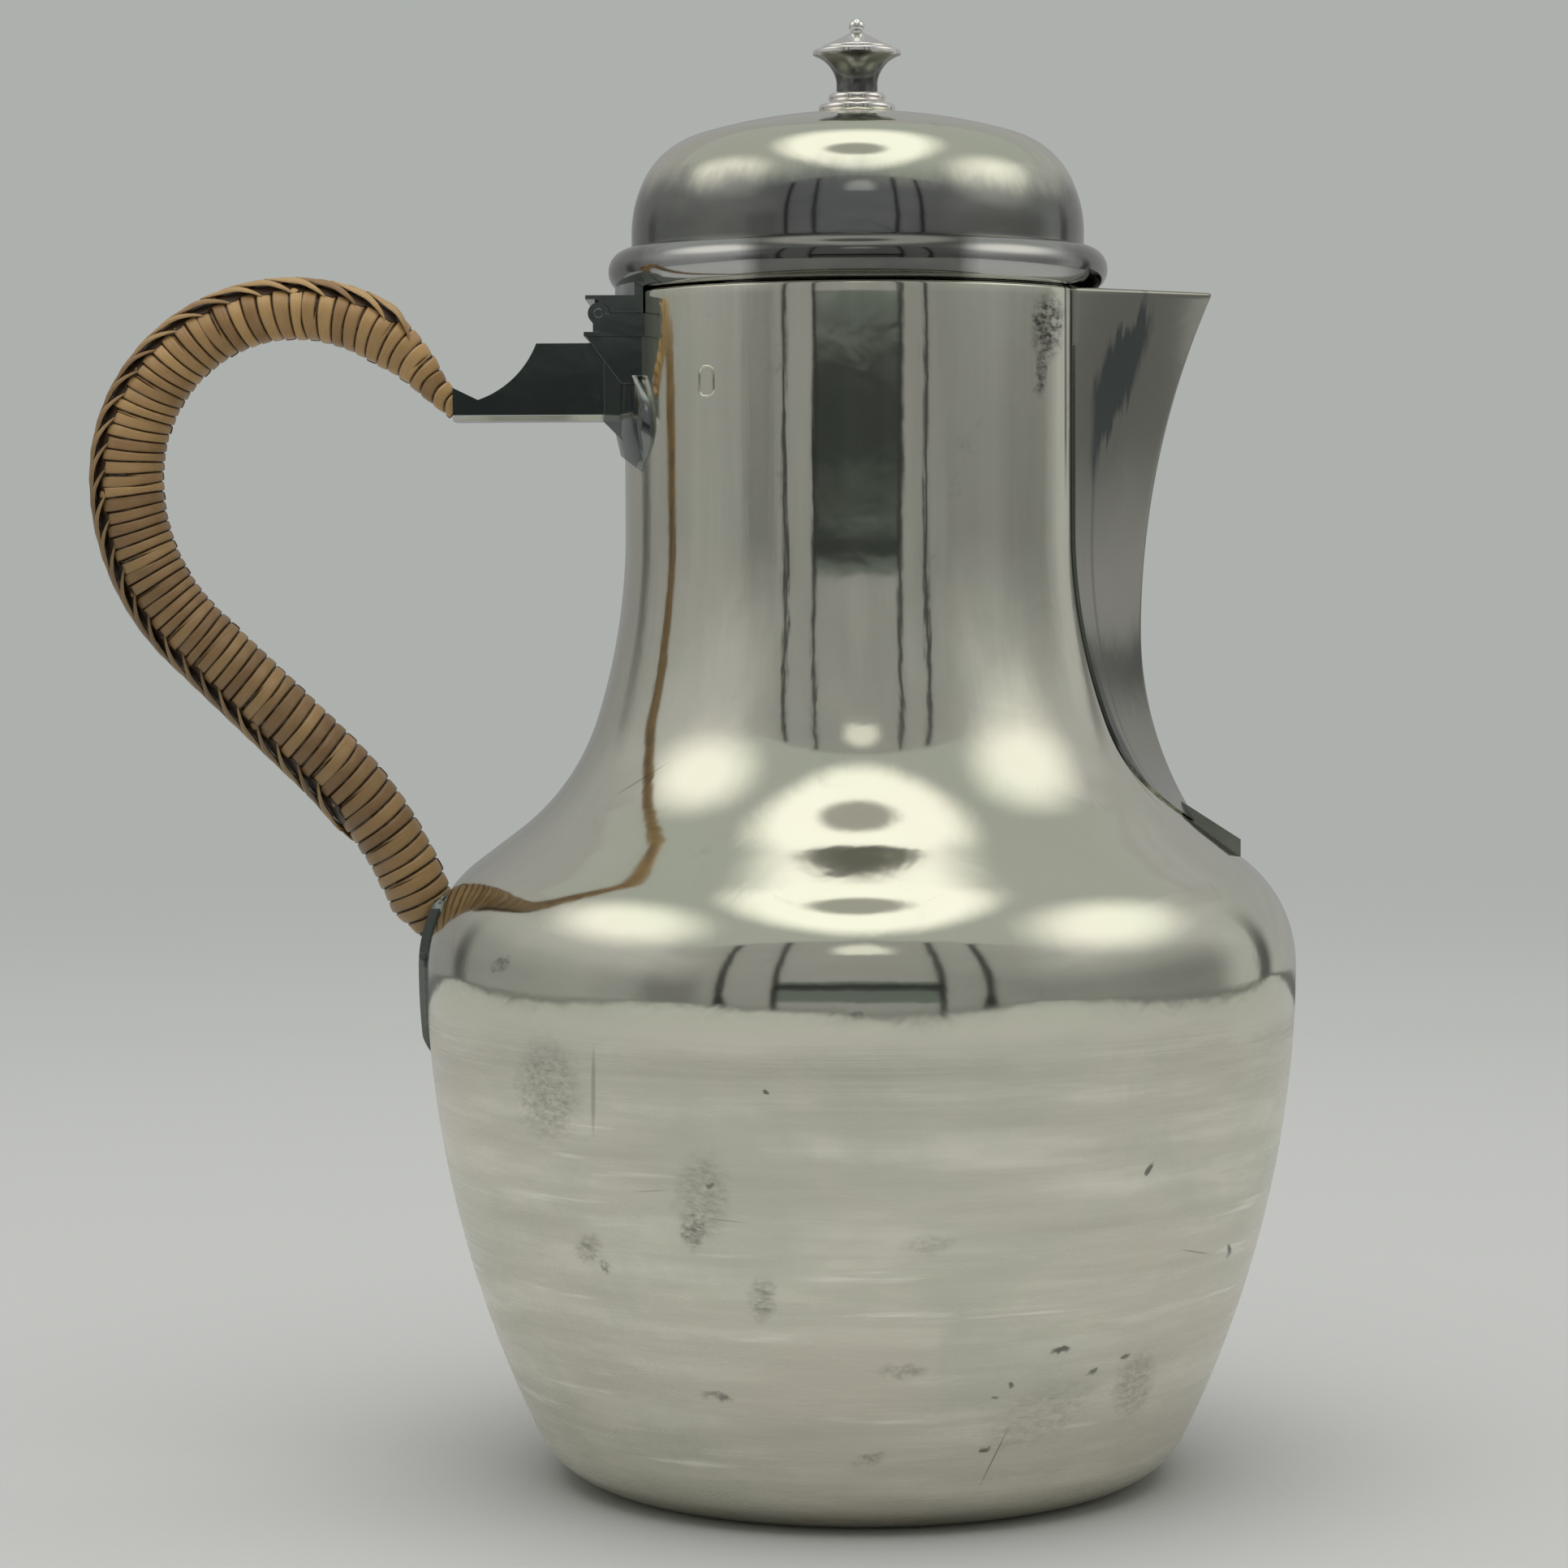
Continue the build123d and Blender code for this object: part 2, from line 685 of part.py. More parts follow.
def handle_bracket(outer, plate):
    """Web with a swept upper edge, flared into the plate and corbelled out under the hinge."""
    top = web_bottom + web_height
    shelf_x = web_end_x + web_shelf
    dip = (web_end_x + web_dip_from_end, web_bottom + web_dip)
    shelf = (shelf_x, top)
    sweep = (dip[0] + (shelf_x - dip[0]) * web_sweep_along, dip[1] + (top - dip[1]) * web_sweep_up)
    inside = -neck_radius / 2
    outline = make_face(
        [
            line((inside, web_bottom), (web_end_x, web_bottom)),
            line((web_end_x, web_bottom), (web_end_x, web_bottom + web_end_height)),
            line((web_end_x, web_bottom + web_end_height), dip),
            ThreePointArc(at(dip), at(sweep), at(shelf)),
            line(shelf, (inside, top)),
            line((inside, top), (inside, web_bottom)),
        ]
    )
    web = extrude(outline, web_thickness / 2, dir=(0, 1, 0), both=True)
    lower_edges = web.edges().filter_by(Axis.X).group_by(Axis.Z)[0]
    web = chamfer(lower_edges, web_edge_chamfer)
    flare_x = -neck_radius - flare_reach
    half = web_thickness / 2 - web_edge_chamfer / 2
    flare_bottom = web_bottom - flare_drop * 2
    flare = tapered_block(
        rectangle_across_x(flare_x, half, web_bottom, hinge_bottom),
        rectangle_across_x(flare_x + 2 * flare_reach, flare_half_width, flare_bottom, hinge_bottom),
    )
    corbel = tapered_block(
        rectangle_across_z(hinge_bottom, -neck_radius - corbel_reach, plate_half_width),
        rectangle_across_z(hinge_bottom - corbel_height, -neck_radius, plate_half_width),
    )
    return web + flare + corbel - outer - plate


# Handle
def handle_legs():
    """Legs of the handle's centre line: start, heading in degrees, length and signed curvature."""
    point = (web_end_x - handle_seat, web_bottom + handle_start_rise)
    heading = handle_start_heading
    turns = [
        (handle_neck_radius, handle_neck_heading),
        (handle_top_radius, handle_top_heading),
        (handle_side_radius, handle_side_heading),
        (None, handle_straight),
        (handle_tail_radius, handle_tail_heading),
        (None, 2 * belly_radius),
    ]
    legs = []
    for radius, target in turns:
        if radius is None:
            leg = (point, heading, target, 0)
            next_heading = heading
        else:
            length = radius * radians(abs(target - heading))
            leg = (point, heading, length, (1 if target > heading else -1) / radius)
            next_heading = target
        legs.append(leg)
        point = leg_point(leg, leg[2])[:2]
        heading = next_heading
    return legs


def leg_point(leg, distance):
    """Point and heading at a distance along one leg."""
    (x, z), heading, _, curvature = leg
    if curvature == 0:
        return x + distance * cos(radians(heading)), z + distance * sin(radians(heading)), heading
    end = heading + degrees(distance * curvature)
    x += (sin(radians(end)) - sin(radians(heading))) / curvature
    z += (cos(radians(heading)) - cos(radians(end))) / curvature
    return x, z, end


legs = handle_legs()


def handle_point(s):
    """Point and heading on the centre line at a distance from the bracket."""
    for leg in legs:
        if s <= leg[2]:
            return leg_point(leg, s)
        s -= leg[2]
    return leg_point(legs[-1], s + legs[-1][2])


def find_landing():
    """Distance along the centre line where it meets the plate on the body."""
    s = sum(leg[2] for leg in legs[:3])
    step = 0.05
    while True:
        x, z, _ = handle_point(s)
        if -x <= vessel_radius(z) + foot_thickness:
            return s
        s += step


landing = find_landing()
landing_z = handle_point(landing)[1]
grip_length = landing + handle_overrun


def grip_radius(s):
    """Radius over the cane at a distance from the bracket."""
    top = legs[0][2] + legs[1][2] / 3
    side = legs[0][2] + legs[1][2]
    foot = grip_length - grip_foot_taper
    changes = [
        (grip_top_radius - grip_end_radius, -cane_lead, grip_end_taper),
        (grip_side_radius - grip_top_radius, top, side),
        (grip_foot_radius - grip_side_radius, grip_length - grip_foot_blend, foot),
        (grip_tip_radius - grip_foot_radius, foot, grip_length),
    ]
    return grip_end_radius + sum(change * ramp(s, start, end) for change, start, end in changes)


def across(s):
    """Plane across the handle: X along the hinge's pin, Z along the centre line."""
    x, z, heading = handle_point(s)
    return Plane((x, 0, z), x_dir=(0, 1, 0), z_dir=(cos(radians(heading)), 0, sin(radians(heading))))


def tube(stations, depth):
    """Ruled tube through circles at distances along the handle, each below the grip by its depth."""
    circles = [across(s) * Circle(grip_radius(s) - below) for s, below in zip(stations, depth)]
    return loft(circles, ruled=True)


def handle_pieces(outer, foot):
    """The rod, and the cane wound round it as one ribbed sleeve."""
    behind = block(web_end_x, 0, -belly_radius, belly_radius, 0, 2 * rim_height)
    length = grip_length + cane_lead
    turns = round(length / cane_strip)
    pitch = length / turns
    stations = []
    depth = []
    for number in range(turns):
        start = -cane_lead + number * pitch
        stations += [start, start + pitch * (1 - cane_flat) / 2, start + pitch * (1 + cane_flat) / 2]
        depth += [cane_groove, 0, 0]
    sleeve = tube(stations + [grip_length], depth + [cane_groove])
    count = round(length / rod_step)
    rod_pitch = (length + 2 * rod_end_gap) / count
    rod_stations = [-cane_lead - rod_end_gap + number * rod_pitch for number in range(count + 1)]
    rod = tube(rod_stations, [cane_thickness] * len(rod_stations))
    return rod - behind - foot - outer, sleeve - rod - behind - foot - outer


def plait_section(s):
    """Crowned strip that lies on the outer side of the cane."""
    end = landing - plait_end_gap
    fade = ramp(s, plait_start - 1, plait_start + plait_step) * (1 - ramp(s, end - plait_step, end + 1))
    inner = grip_radius(s) + plait_clearance
    edge = inner + plait_end_edge + (plait_edge - plait_end_edge) * fade
    crown = inner + plait_edge + (plait_height - plait_edge) * fade
    half = radians(plait_half_angle)
    points = [Vector(r * sin(a), -r * cos(a)) for r, a in ((inner, -half), (inner, 0), (inner, half))]
    tops = [Vector(r * sin(a), -r * cos(a)) for r, a in ((edge, half), (crown, 0), (edge, -half))]
    edges = [
        ThreePointArc(*points),
        Line(points[2], tops[0]),
        ThreePointArc(*tops),
        Line(tops[2], points[0]),
    ]
    return across(s) * make_face(edges)


def cane_plait():
    """The plaited spine along the outer side of the handle, without its braid."""
    end = landing - plait_end_gap
    count = round((end - plait_start) / plait_step)
    stations = [plait_start + (end - plait_start) * number / count for number in range(count + 1)]
    return loft([plait_section(s) for s in stations], ruled=True)


def lower_foot(outer):
    """Leaf-shaped plate on the body, thinned towards its point."""
    top = landing_z + foot_above_landing
    bottom = landing_z - foot_below_landing
    widest = landing_z - foot_half_width
    half = foot_half_width
    side = Vector(0, half, widest)
    corner = Vector(0, half, top - half / 2)
    leaf_middle = Vector(0, half * foot_leaf_share, bottom + foot_leaf_rise)
    top_middle = Vector(0, half * foot_top_share, top - foot_top_drop)
    right = [
        ThreePointArc(Vector(0, 0, bottom), leaf_middle, side),
        Line(side, corner),
        ThreePointArc(corner, top_middle, Vector(0, 0, top)),
    ]
    outline = make_face(right + [edge.mirror(Plane.XZ) for edge in right])
    leaf = lifted_skin(outer, foot_thickness) & extrude(outline, 2 * belly_radius, dir=(-1, 0, 0))
    tip = (-vessel_radius(bottom), bottom)
    bevel_z = bottom + foot_bevel
    bevel = (-vessel_radius(bevel_z) - foot_thickness, bevel_z)
    middle_z = bottom + foot_bevel * foot_bevel_along
    middle = (-vessel_radius(middle_z) - foot_thickness * (1 - foot_bevel_depth), middle_z)
    above = (2 * tip[0], bevel_z)
    below = (2 * tip[0], bottom)
    rounding = ThreePointArc(at(tip), at(middle), at(bevel))
    wedge = make_face([rounding, line(bevel, above), line(above, below), line(below, tip)])
    return leaf - extrude(wedge, foot_half_width * 2, dir=(0, 1, 0), both=True)


def build():
    """Makes every piece and returns them by name."""
    outer = vessel_outer(rim_height)
    spout, beak, channel = spout_pieces()
    vessel = vessel_shell() - (channel & spout_window())
    dome, moulding, bezel = lid_pieces()
    dome -= block_of_revolution(stud_radius + stud_bore_clearance, moulding_height, 2 * rim_height)
    stud = finial_stud()
    washer, nut = finial_fixings(dome)
    body_leaf, lid_leaf, pin = hinge_pieces(outer, moulding, dome)
    plate = neck_plate(outer)
    foot = lower_foot(outer)
    rod, sleeve = handle_pieces(outer, foot)
    return {
        "vessel_body": vessel,
        "spout_sheet": spout,
        "spout_heel": spout_heel(outer, beak),
        "neck_plate": plate,
        "handle_bracket": handle_bracket(outer, plate),
        "handle_rod": rod,
        "cane_wrap": sleeve,
        "cane_plait": cane_plait(),
        "lower_foot": foot,
        "hinge_body_leaf": body_leaf,
        "hinge_pin": pin,
        "hinge_lid_leaf": lid_leaf,
        "lid_dome": dome,
        "lid_moulding": moulding,
        "lid_bezel": bezel,
        "finial_collar": finial_collar(dome),
        "finial_knob": finial_knob(stud),
        "finial_stud": stud,
        "finial_washer": washer,
        "finial_nut": nut,
    }


os.makedirs("parts", exist_ok=True)
for name, piece in build().items():
    export_step(piece, f"parts/{name}.step")
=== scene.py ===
"""The milk jug's visual model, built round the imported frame.

Lengths are in millimetres and become metres where a mesh is made. Z is up, +X points to the
spout and the handle lies towards -X. A profile is a list of (radius, height).
"""
from cmath import phase
from math import acos, asin, atan2, ceil, copysign, cos, degrees, hypot, pi, radians, sin, sqrt, tan

import bmesh
import bpy
from mathutils import Matrix, Vector

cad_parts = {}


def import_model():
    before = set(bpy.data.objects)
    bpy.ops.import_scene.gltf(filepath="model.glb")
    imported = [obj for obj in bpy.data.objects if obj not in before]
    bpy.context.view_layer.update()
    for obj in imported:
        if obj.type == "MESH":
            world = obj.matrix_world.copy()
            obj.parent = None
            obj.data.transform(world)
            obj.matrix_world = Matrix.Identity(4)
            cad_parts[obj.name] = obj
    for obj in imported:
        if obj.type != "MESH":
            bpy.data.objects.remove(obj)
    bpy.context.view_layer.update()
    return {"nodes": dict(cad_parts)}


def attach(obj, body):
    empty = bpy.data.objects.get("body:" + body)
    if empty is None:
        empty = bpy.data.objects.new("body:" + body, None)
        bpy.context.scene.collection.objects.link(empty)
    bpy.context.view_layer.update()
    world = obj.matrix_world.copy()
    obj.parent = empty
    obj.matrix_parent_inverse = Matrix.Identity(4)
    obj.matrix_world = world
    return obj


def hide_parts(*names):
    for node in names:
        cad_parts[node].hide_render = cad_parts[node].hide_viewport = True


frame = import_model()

MM = 0.001
nodes_of_frame = frame["nodes"]

# Vessel
wall = 1.0
belly_radius = 53.2
belly_height = 63.1
corner_radius = 10.6
lower_side_radius = 136.0
upper_side_radius = 123.0
upper_side_turn = 7.0
shoulder_radius = 15.7
shoulder_slope = 6.4
neck_sweep_radius = 27.6
neck_flare_radius = 75.0
neck_flare_turn = 17.8
neck_radius = 28.5
rim_height = 144.7
rim_rounding = 0.25
rim_outer_rounding = 0.45
vessel_columns = 300
punch_place = (-129.6, 133.3)
punch_half_width = 1.1
punch_half_height = 1.75
punch_edge = 0.2

# Spout
spout_reach = 14.8
spout_wall = 0.9
spout_half_width = 13.2
spout_bottom_height = 80.2
spout_round_bottom = 10.0
spout_fold_radius = 1.1
spout_edge = 0.35
spout_lowest = 0.1
spout_sink = 0.6
spout_rim_rounding = 0.5
keel_waist_height = 103.5
keel_waist_gap = 5.0
keel_foot_gap = 0.51
window_bottom_height = 100.0
window_rise = 16.0

# Lid
lid_wall = 0.9
lid_gap = 0.12
moulding_radius = 2.65
moulding_centre_radius = 27.75
dome_radius = 27.55
dome_straight = 1.85
dome_side_radius = 14.9
dome_side_turn = 25.2
dome_corner_radius = 10.4
dome_corner_turn = 48.1
bezel_wall = 0.8
bezel_clearance = 0.2
lid_columns = 240

# Finial
collar_radius = 4.4
collar_height = 2.3
collar_ring_radius = 3.2
collar_band = 1.0
collar_bulge = 0.25
collar_seat = 0.3
collar_step = 0.15
knob_waist_radius = 2.5
knob_waist_height = 1.3
knob_cup_radius = 5.35
knob_cup_rise = 3.4
knob_cup_middle = (3.35, 2.05)
knob_rim_height = 0.5
knob_edge = 0.8
knob_cap_radius = 4.05
knob_cap_height = 2.0
knob_cap_middle_radius = 2.5
knob_tip_radius = 0.95
knob_tip_neck_angle = -45.0
knob_rim_bead = 0.3
knob_cap_bead = 0.27
knob_groove_radius = 4.45
finial_columns = 96

# Bracket's end, where the handle starts
web_reach = 20.8
web_drop = 15.3
web_edge = 0.7

# Handle
handle_seat = 0.3
cane_lead = 0.8
handle_start_rise = 2.2
handle_start_heading = 140.0
handle_turns = [
    (20.0, 127.0),
    (20.2, 267.6),
    (26.2, 315.9),
    (None, 21.5),
    (49.2, 288.3),
    (None, 2 * belly_radius),
]
handle_overrun = 2.5
grip_end_radius = 1.5
grip_top_radius = 3.35
grip_side_radius = 4.1
grip_foot_radius = 3.9
grip_tip_radius = 1.7
grip_end_taper = 13.0
grip_foot_blend = 25.0
grip_foot_taper = 5.5
foot_thickness = 0.95
cane_strip = 1.76
cane_tight_strip = 1.42
cane_tight = [26.0, 46.0, 70.0, 100.0]
cane_groove = 0.3
plait_start = 9.0
plait_end_gap = 12.0
plait_half_angle = 48.0
plait_stitch = 6.6
plait_strand = 1.0

# Wear on the body: (x, z, half length, half width, strength, slope in degrees)
body_smudges = [
    (-19.6, 37.4, 3.3, 2.0, 0.62, 80), (-18.8, 41.0, 7.0, 3.9, 0.30, 85), (-12.1, 29.5, 3.4, 2.0, 0.42, 85),
    (-31.8, 33.9, 2.4, 2.0, 0.42, 60), (3.7, 21.0, 3.6, 1.1, 0.35, 0), (0.0, 10.2, 2.2, 1.0, 0.40, 10),
    (31.0, 16.5, 5.5, 3.2, 0.32, 80), (-36.5, 52.0, 7.5, 5.0, 0.34, 88), (-17.1, 17.5, 2.2, 0.8, 0.55, -12),
    (-30.0, 32.0, 1.2, 0.8, 0.6, -40), (19.5, 14.5, 9.0, 4.5, 0.20, 20), (6.5, 36.0, 4.0, 1.6, 0.22, 4),
    (-1.4, 62.0, 1.1, 0.8, 0.45, 0), (22.0, 139.8, 5.2, 2.6, 0.85, 86), (21.2, 134.5, 4.0, 0.9, 0.7, 88),
    (-42.0, 66.0, 1.6, 1.0, 0.5, 30), (42.0, 84.0, 4.0, 1.2, 0.25, -30),
]
body_specks = [
    (-11.3, 53.6, 0.55, 0.5, 0.8, 0), (-17.7, 42.7, 0.5, 0.45, 0.6, 0), (21.7, 22.3, 1.3, 0.7, 0.8, 0),
    (29.8, 20.7, 0.6, 0.5, 0.7, 0), (25.6, 19.1, 0.5, 0.5, 0.7, 0), (16.1, 18.7, 0.55, 0.5, 0.7, 0),
    (14.2, 17.2, 0.5, 0.45, 0.6, 0), (13.2, 10.8, 0.65, 0.6, 0.8, 0), (31.9, 42.9, 1.0, 0.4, 0.8, 60),
    (42.8, 31.0, 1.3, 0.35, 0.8, 88),
]
body_scratches = [
    (14.4, 9.9, 5.2, 0.12, 0.65, 66), (38.2, 32.0, 2.6, 0.14, 0.5, -20), (-26.0, 86.8, 4.6, 0.12, 0.45, 32),
    (-31.0, 52.5, 6.4, 0.35, 0.4, 89), (-24.5, 41.5, 2.6, 0.10, 0.4, 8), (-16.0, 38.6, 3.0, 0.10, 0.4, -4),
]

# Camera, from the photograph's perspective
camera_place = (-9.287, -512.122, 111.702)
camera_pitch_down = 2.99
camera_roll = 0.274
camera_lens = 95.89
camera_sensor = 36.0

# Levels of light, where 1 shows as white
backdrop = 0.437
ambient = 0.33
wall_tones = [
    (-180, 0.27), (-133, 0.27), (-129, 0.10), (-126, 0.10), (-121, 0.27), (-76, 0.34), (-60, 0.30), (-54, 0.19),
    (-44, 0.18), (-39, 0.27), (-22, 0.30), (19, 0.29), (31, 0.27), (45, 0.24), (60, 0.25), (90, 0.21),
    (100, 0.22), (112, 0.45), (121, 0.45), (124, 0.10), (128, 0.10), (133, 0.42), (180, 0.27),
]
wall_tones_above = [
    (-180, 0.36), (-130, 0.38), (-100, 0.52), (-60, 0.50), (-40, 0.33), (0, 0.32), (40, 0.33), (60, 0.50),
    (100, 0.55), (130, 0.42), (180, 0.36),
]

# Light tent, in metres. The front curtain has dark seams and a slot for the camera.
heart = Vector((0, 0, 0.09))
lamp_tone = (1.0, 0.985, 0.93)
side_lamp_distance = 0.5
tent_half_width = 0.58
tent_back = 0.5
tent_height = 0.62
curtain = -0.53
curtain_top = 0.6
seam_bend = 0.09
seam_tone = (0.012, 0.013, 0.013)
curtain_seams = [  # name, azimuth, half width below and above the bend
    ("far_left", -36, 0.027, 0.015), ("left", -22, 0.010, 0.010), ("right", 18.5, 0.010, 0.010),
    ("far_right", 31, 0.025, 0.013),
]
slot_sides = (-0.205, 0.172)
slot_cards = [  # name, bottom, top, tone
    ("low", 0.04, 0.118, 0.15), ("middle", 0.118, 0.134, 0.07), ("high", 0.134, 0.165, 0.04),
    ("top", 0.165, 0.185, 0.14),
]


def polar(centre, radius, angle):
    """Point at an angle in degrees round a centre."""
    return (centre[0] + radius * cos(radians(angle)), centre[1] + radius * sin(radians(angle)))


def arc(centre, radius, first, last, step=1.5):
    """Points along an arc between two angles in degrees, no more than step apart in turn."""
    count = max(2, ceil(abs(last - first) / step))
    return [polar(centre, radius, first + (last - first) * i / count) for i in range(count + 1)]


def run(start, end, step=1.0):
    """Points along a straight line, no more than step apart."""
    count = max(1, ceil(hypot(end[0] - start[0], end[1] - start[1]) / step))
    shares = [i / count for i in range(count + 1)]
    return [(start[0] + (end[0] - start[0]) * t, start[1] + (end[1] - start[1]) * t) for t in shares]


def through(start, middle, end, count=12):
    """Points along the circle arc that passes through three points."""
    a, b, c = (complex(*point) for point in (start, middle, end))
    share = (c - a) / (b - a)
    centre = a + (b - a) * (share - abs(share) ** 2) / (2j * share.imag)
    first, mid, last = (phase(point - centre) for point in (a, b, c))
    to_mid = (mid - first + pi) % (2 * pi) - pi
    to_last = to_mid + (last - mid + pi) % (2 * pi) - pi
    turns = [degrees(first + to_last * i / count) for i in range(count + 1)]
    return [polar((centre.real, centre.imag), abs(a - centre), turn) for turn in turns]


def ramp(value, start, end):
    """Smooth step from 0 to 1."""
    t = min(max((value - start) / (end - start), 0), 1)
    return t * t * (3 - 2 * t)


def joined(*parts):
    """One profile from several, without the points that two of them share."""
    points = []
    for part in parts:
        for point in part:
            if not points or hypot(point[0] - points[-1][0], point[1] - points[-1][1]) > 1e-6:
                points.append(point)
    return points


# Heights and centres of the lid and the finial
moulding_height = rim_height + lid_gap + moulding_radius
dome_height = moulding_height + sqrt(moulding_radius**2 - (moulding_centre_radius - dome_radius) ** 2)
dome_side_height = dome_height + dome_straight
dome_side_centre = (dome_radius - dome_side_radius, dome_side_height)
dome_corner_centre = polar(dome_side_centre, dome_side_radius - dome_corner_radius, dome_side_turn)
crown_angle = dome_side_turn + dome_corner_turn
crown_start = polar(dome_corner_centre, dome_corner_radius, crown_angle)
crown_radius = crown_start[0] / cos(radians(crown_angle))
crown_centre = (0, crown_start[1] - crown_radius * sin(radians(crown_angle)))
lid_top = crown_centre[1] + crown_radius
collar_top = lid_top + collar_height
cup_height = collar_top + knob_waist_height + knob_cup_rise
cap_foot_height = cup_height + knob_edge
tip_height = cap_foot_height + knob_cap_height - knob_tip_radius * sin(radians(knob_tip_neck_angle))


# Meshes and pieces
def grid(name, rows, around=False, closed=False, sharp=35.0, uvs=None):
    """Mesh over rows of points. around joins each row's ends, closed joins the last row to the first."""
    columns = len(rows[0])
    points = [Vector(p) * MM for row in rows for p in row]
    faces = []
    for i in range(len(rows) - (0 if closed else 1)):
        for j in range(columns - (0 if around else 1)):
            k, m = (i + 1) % len(rows), (j + 1) % columns
            faces.append((i * columns + j, i * columns + m, k * columns + m, k * columns + j))
    return mesh_of(name, points, faces, sharp, uvs)


def mesh_of(name, points, faces, sharp=35.0, uvs=None):
    """Smooth mesh with its normals outwards. uvs holds a pair for each point."""
    mesh = bpy.data.meshes.new(name)
    mesh.from_pydata(points, [], faces)
    if uvs:
        layer = mesh.uv_layers.new(name="along")
        for loop in mesh.loops:
            layer.data[loop.index].uv = uvs[loop.vertex_index]
    shell = bmesh.new()
    shell.from_mesh(mesh)
    bmesh.ops.remove_doubles(shell, verts=shell.verts, dist=1e-7)
    bmesh.ops.dissolve_degenerate(shell, edges=shell.edges, dist=1e-8)
    bmesh.ops.recalc_face_normals(shell, faces=shell.faces)
    shell.to_mesh(mesh)
    shell.free()
    mesh.shade_smooth()
    mesh.set_sharp_from_angle(angle=radians(sharp))
    return mesh


def turned(name, profile, columns, body, material, node):
    """A silver piece of revolution with a closed profile, in place of a CAD node."""
    turns = [2 * pi * j / columns for j in range(columns)]
    rows = [[(r * cos(a), r * sin(a), z) for a in turns] for r, z in profile]
    mesh = grid(name, rows, around=True, closed=True)
    return piece(name, mesh, body, "silver", material, node)


def placed(name, data):
    """New object in the scene."""
    obj = bpy.data.objects.new(name, data)
    bpy.context.scene.collection.objects.link(obj)
    return obj


def piece(name, mesh, body, slot, material, *replaced):
    """A piece of the object that rides on a body and may stand for CAD nodes."""
    obj = placed(name, mesh)
    mesh.materials.clear()
    mesh.materials.append(material)
    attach(obj, body)
    if replaced:
        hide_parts(*replaced)
    return obj


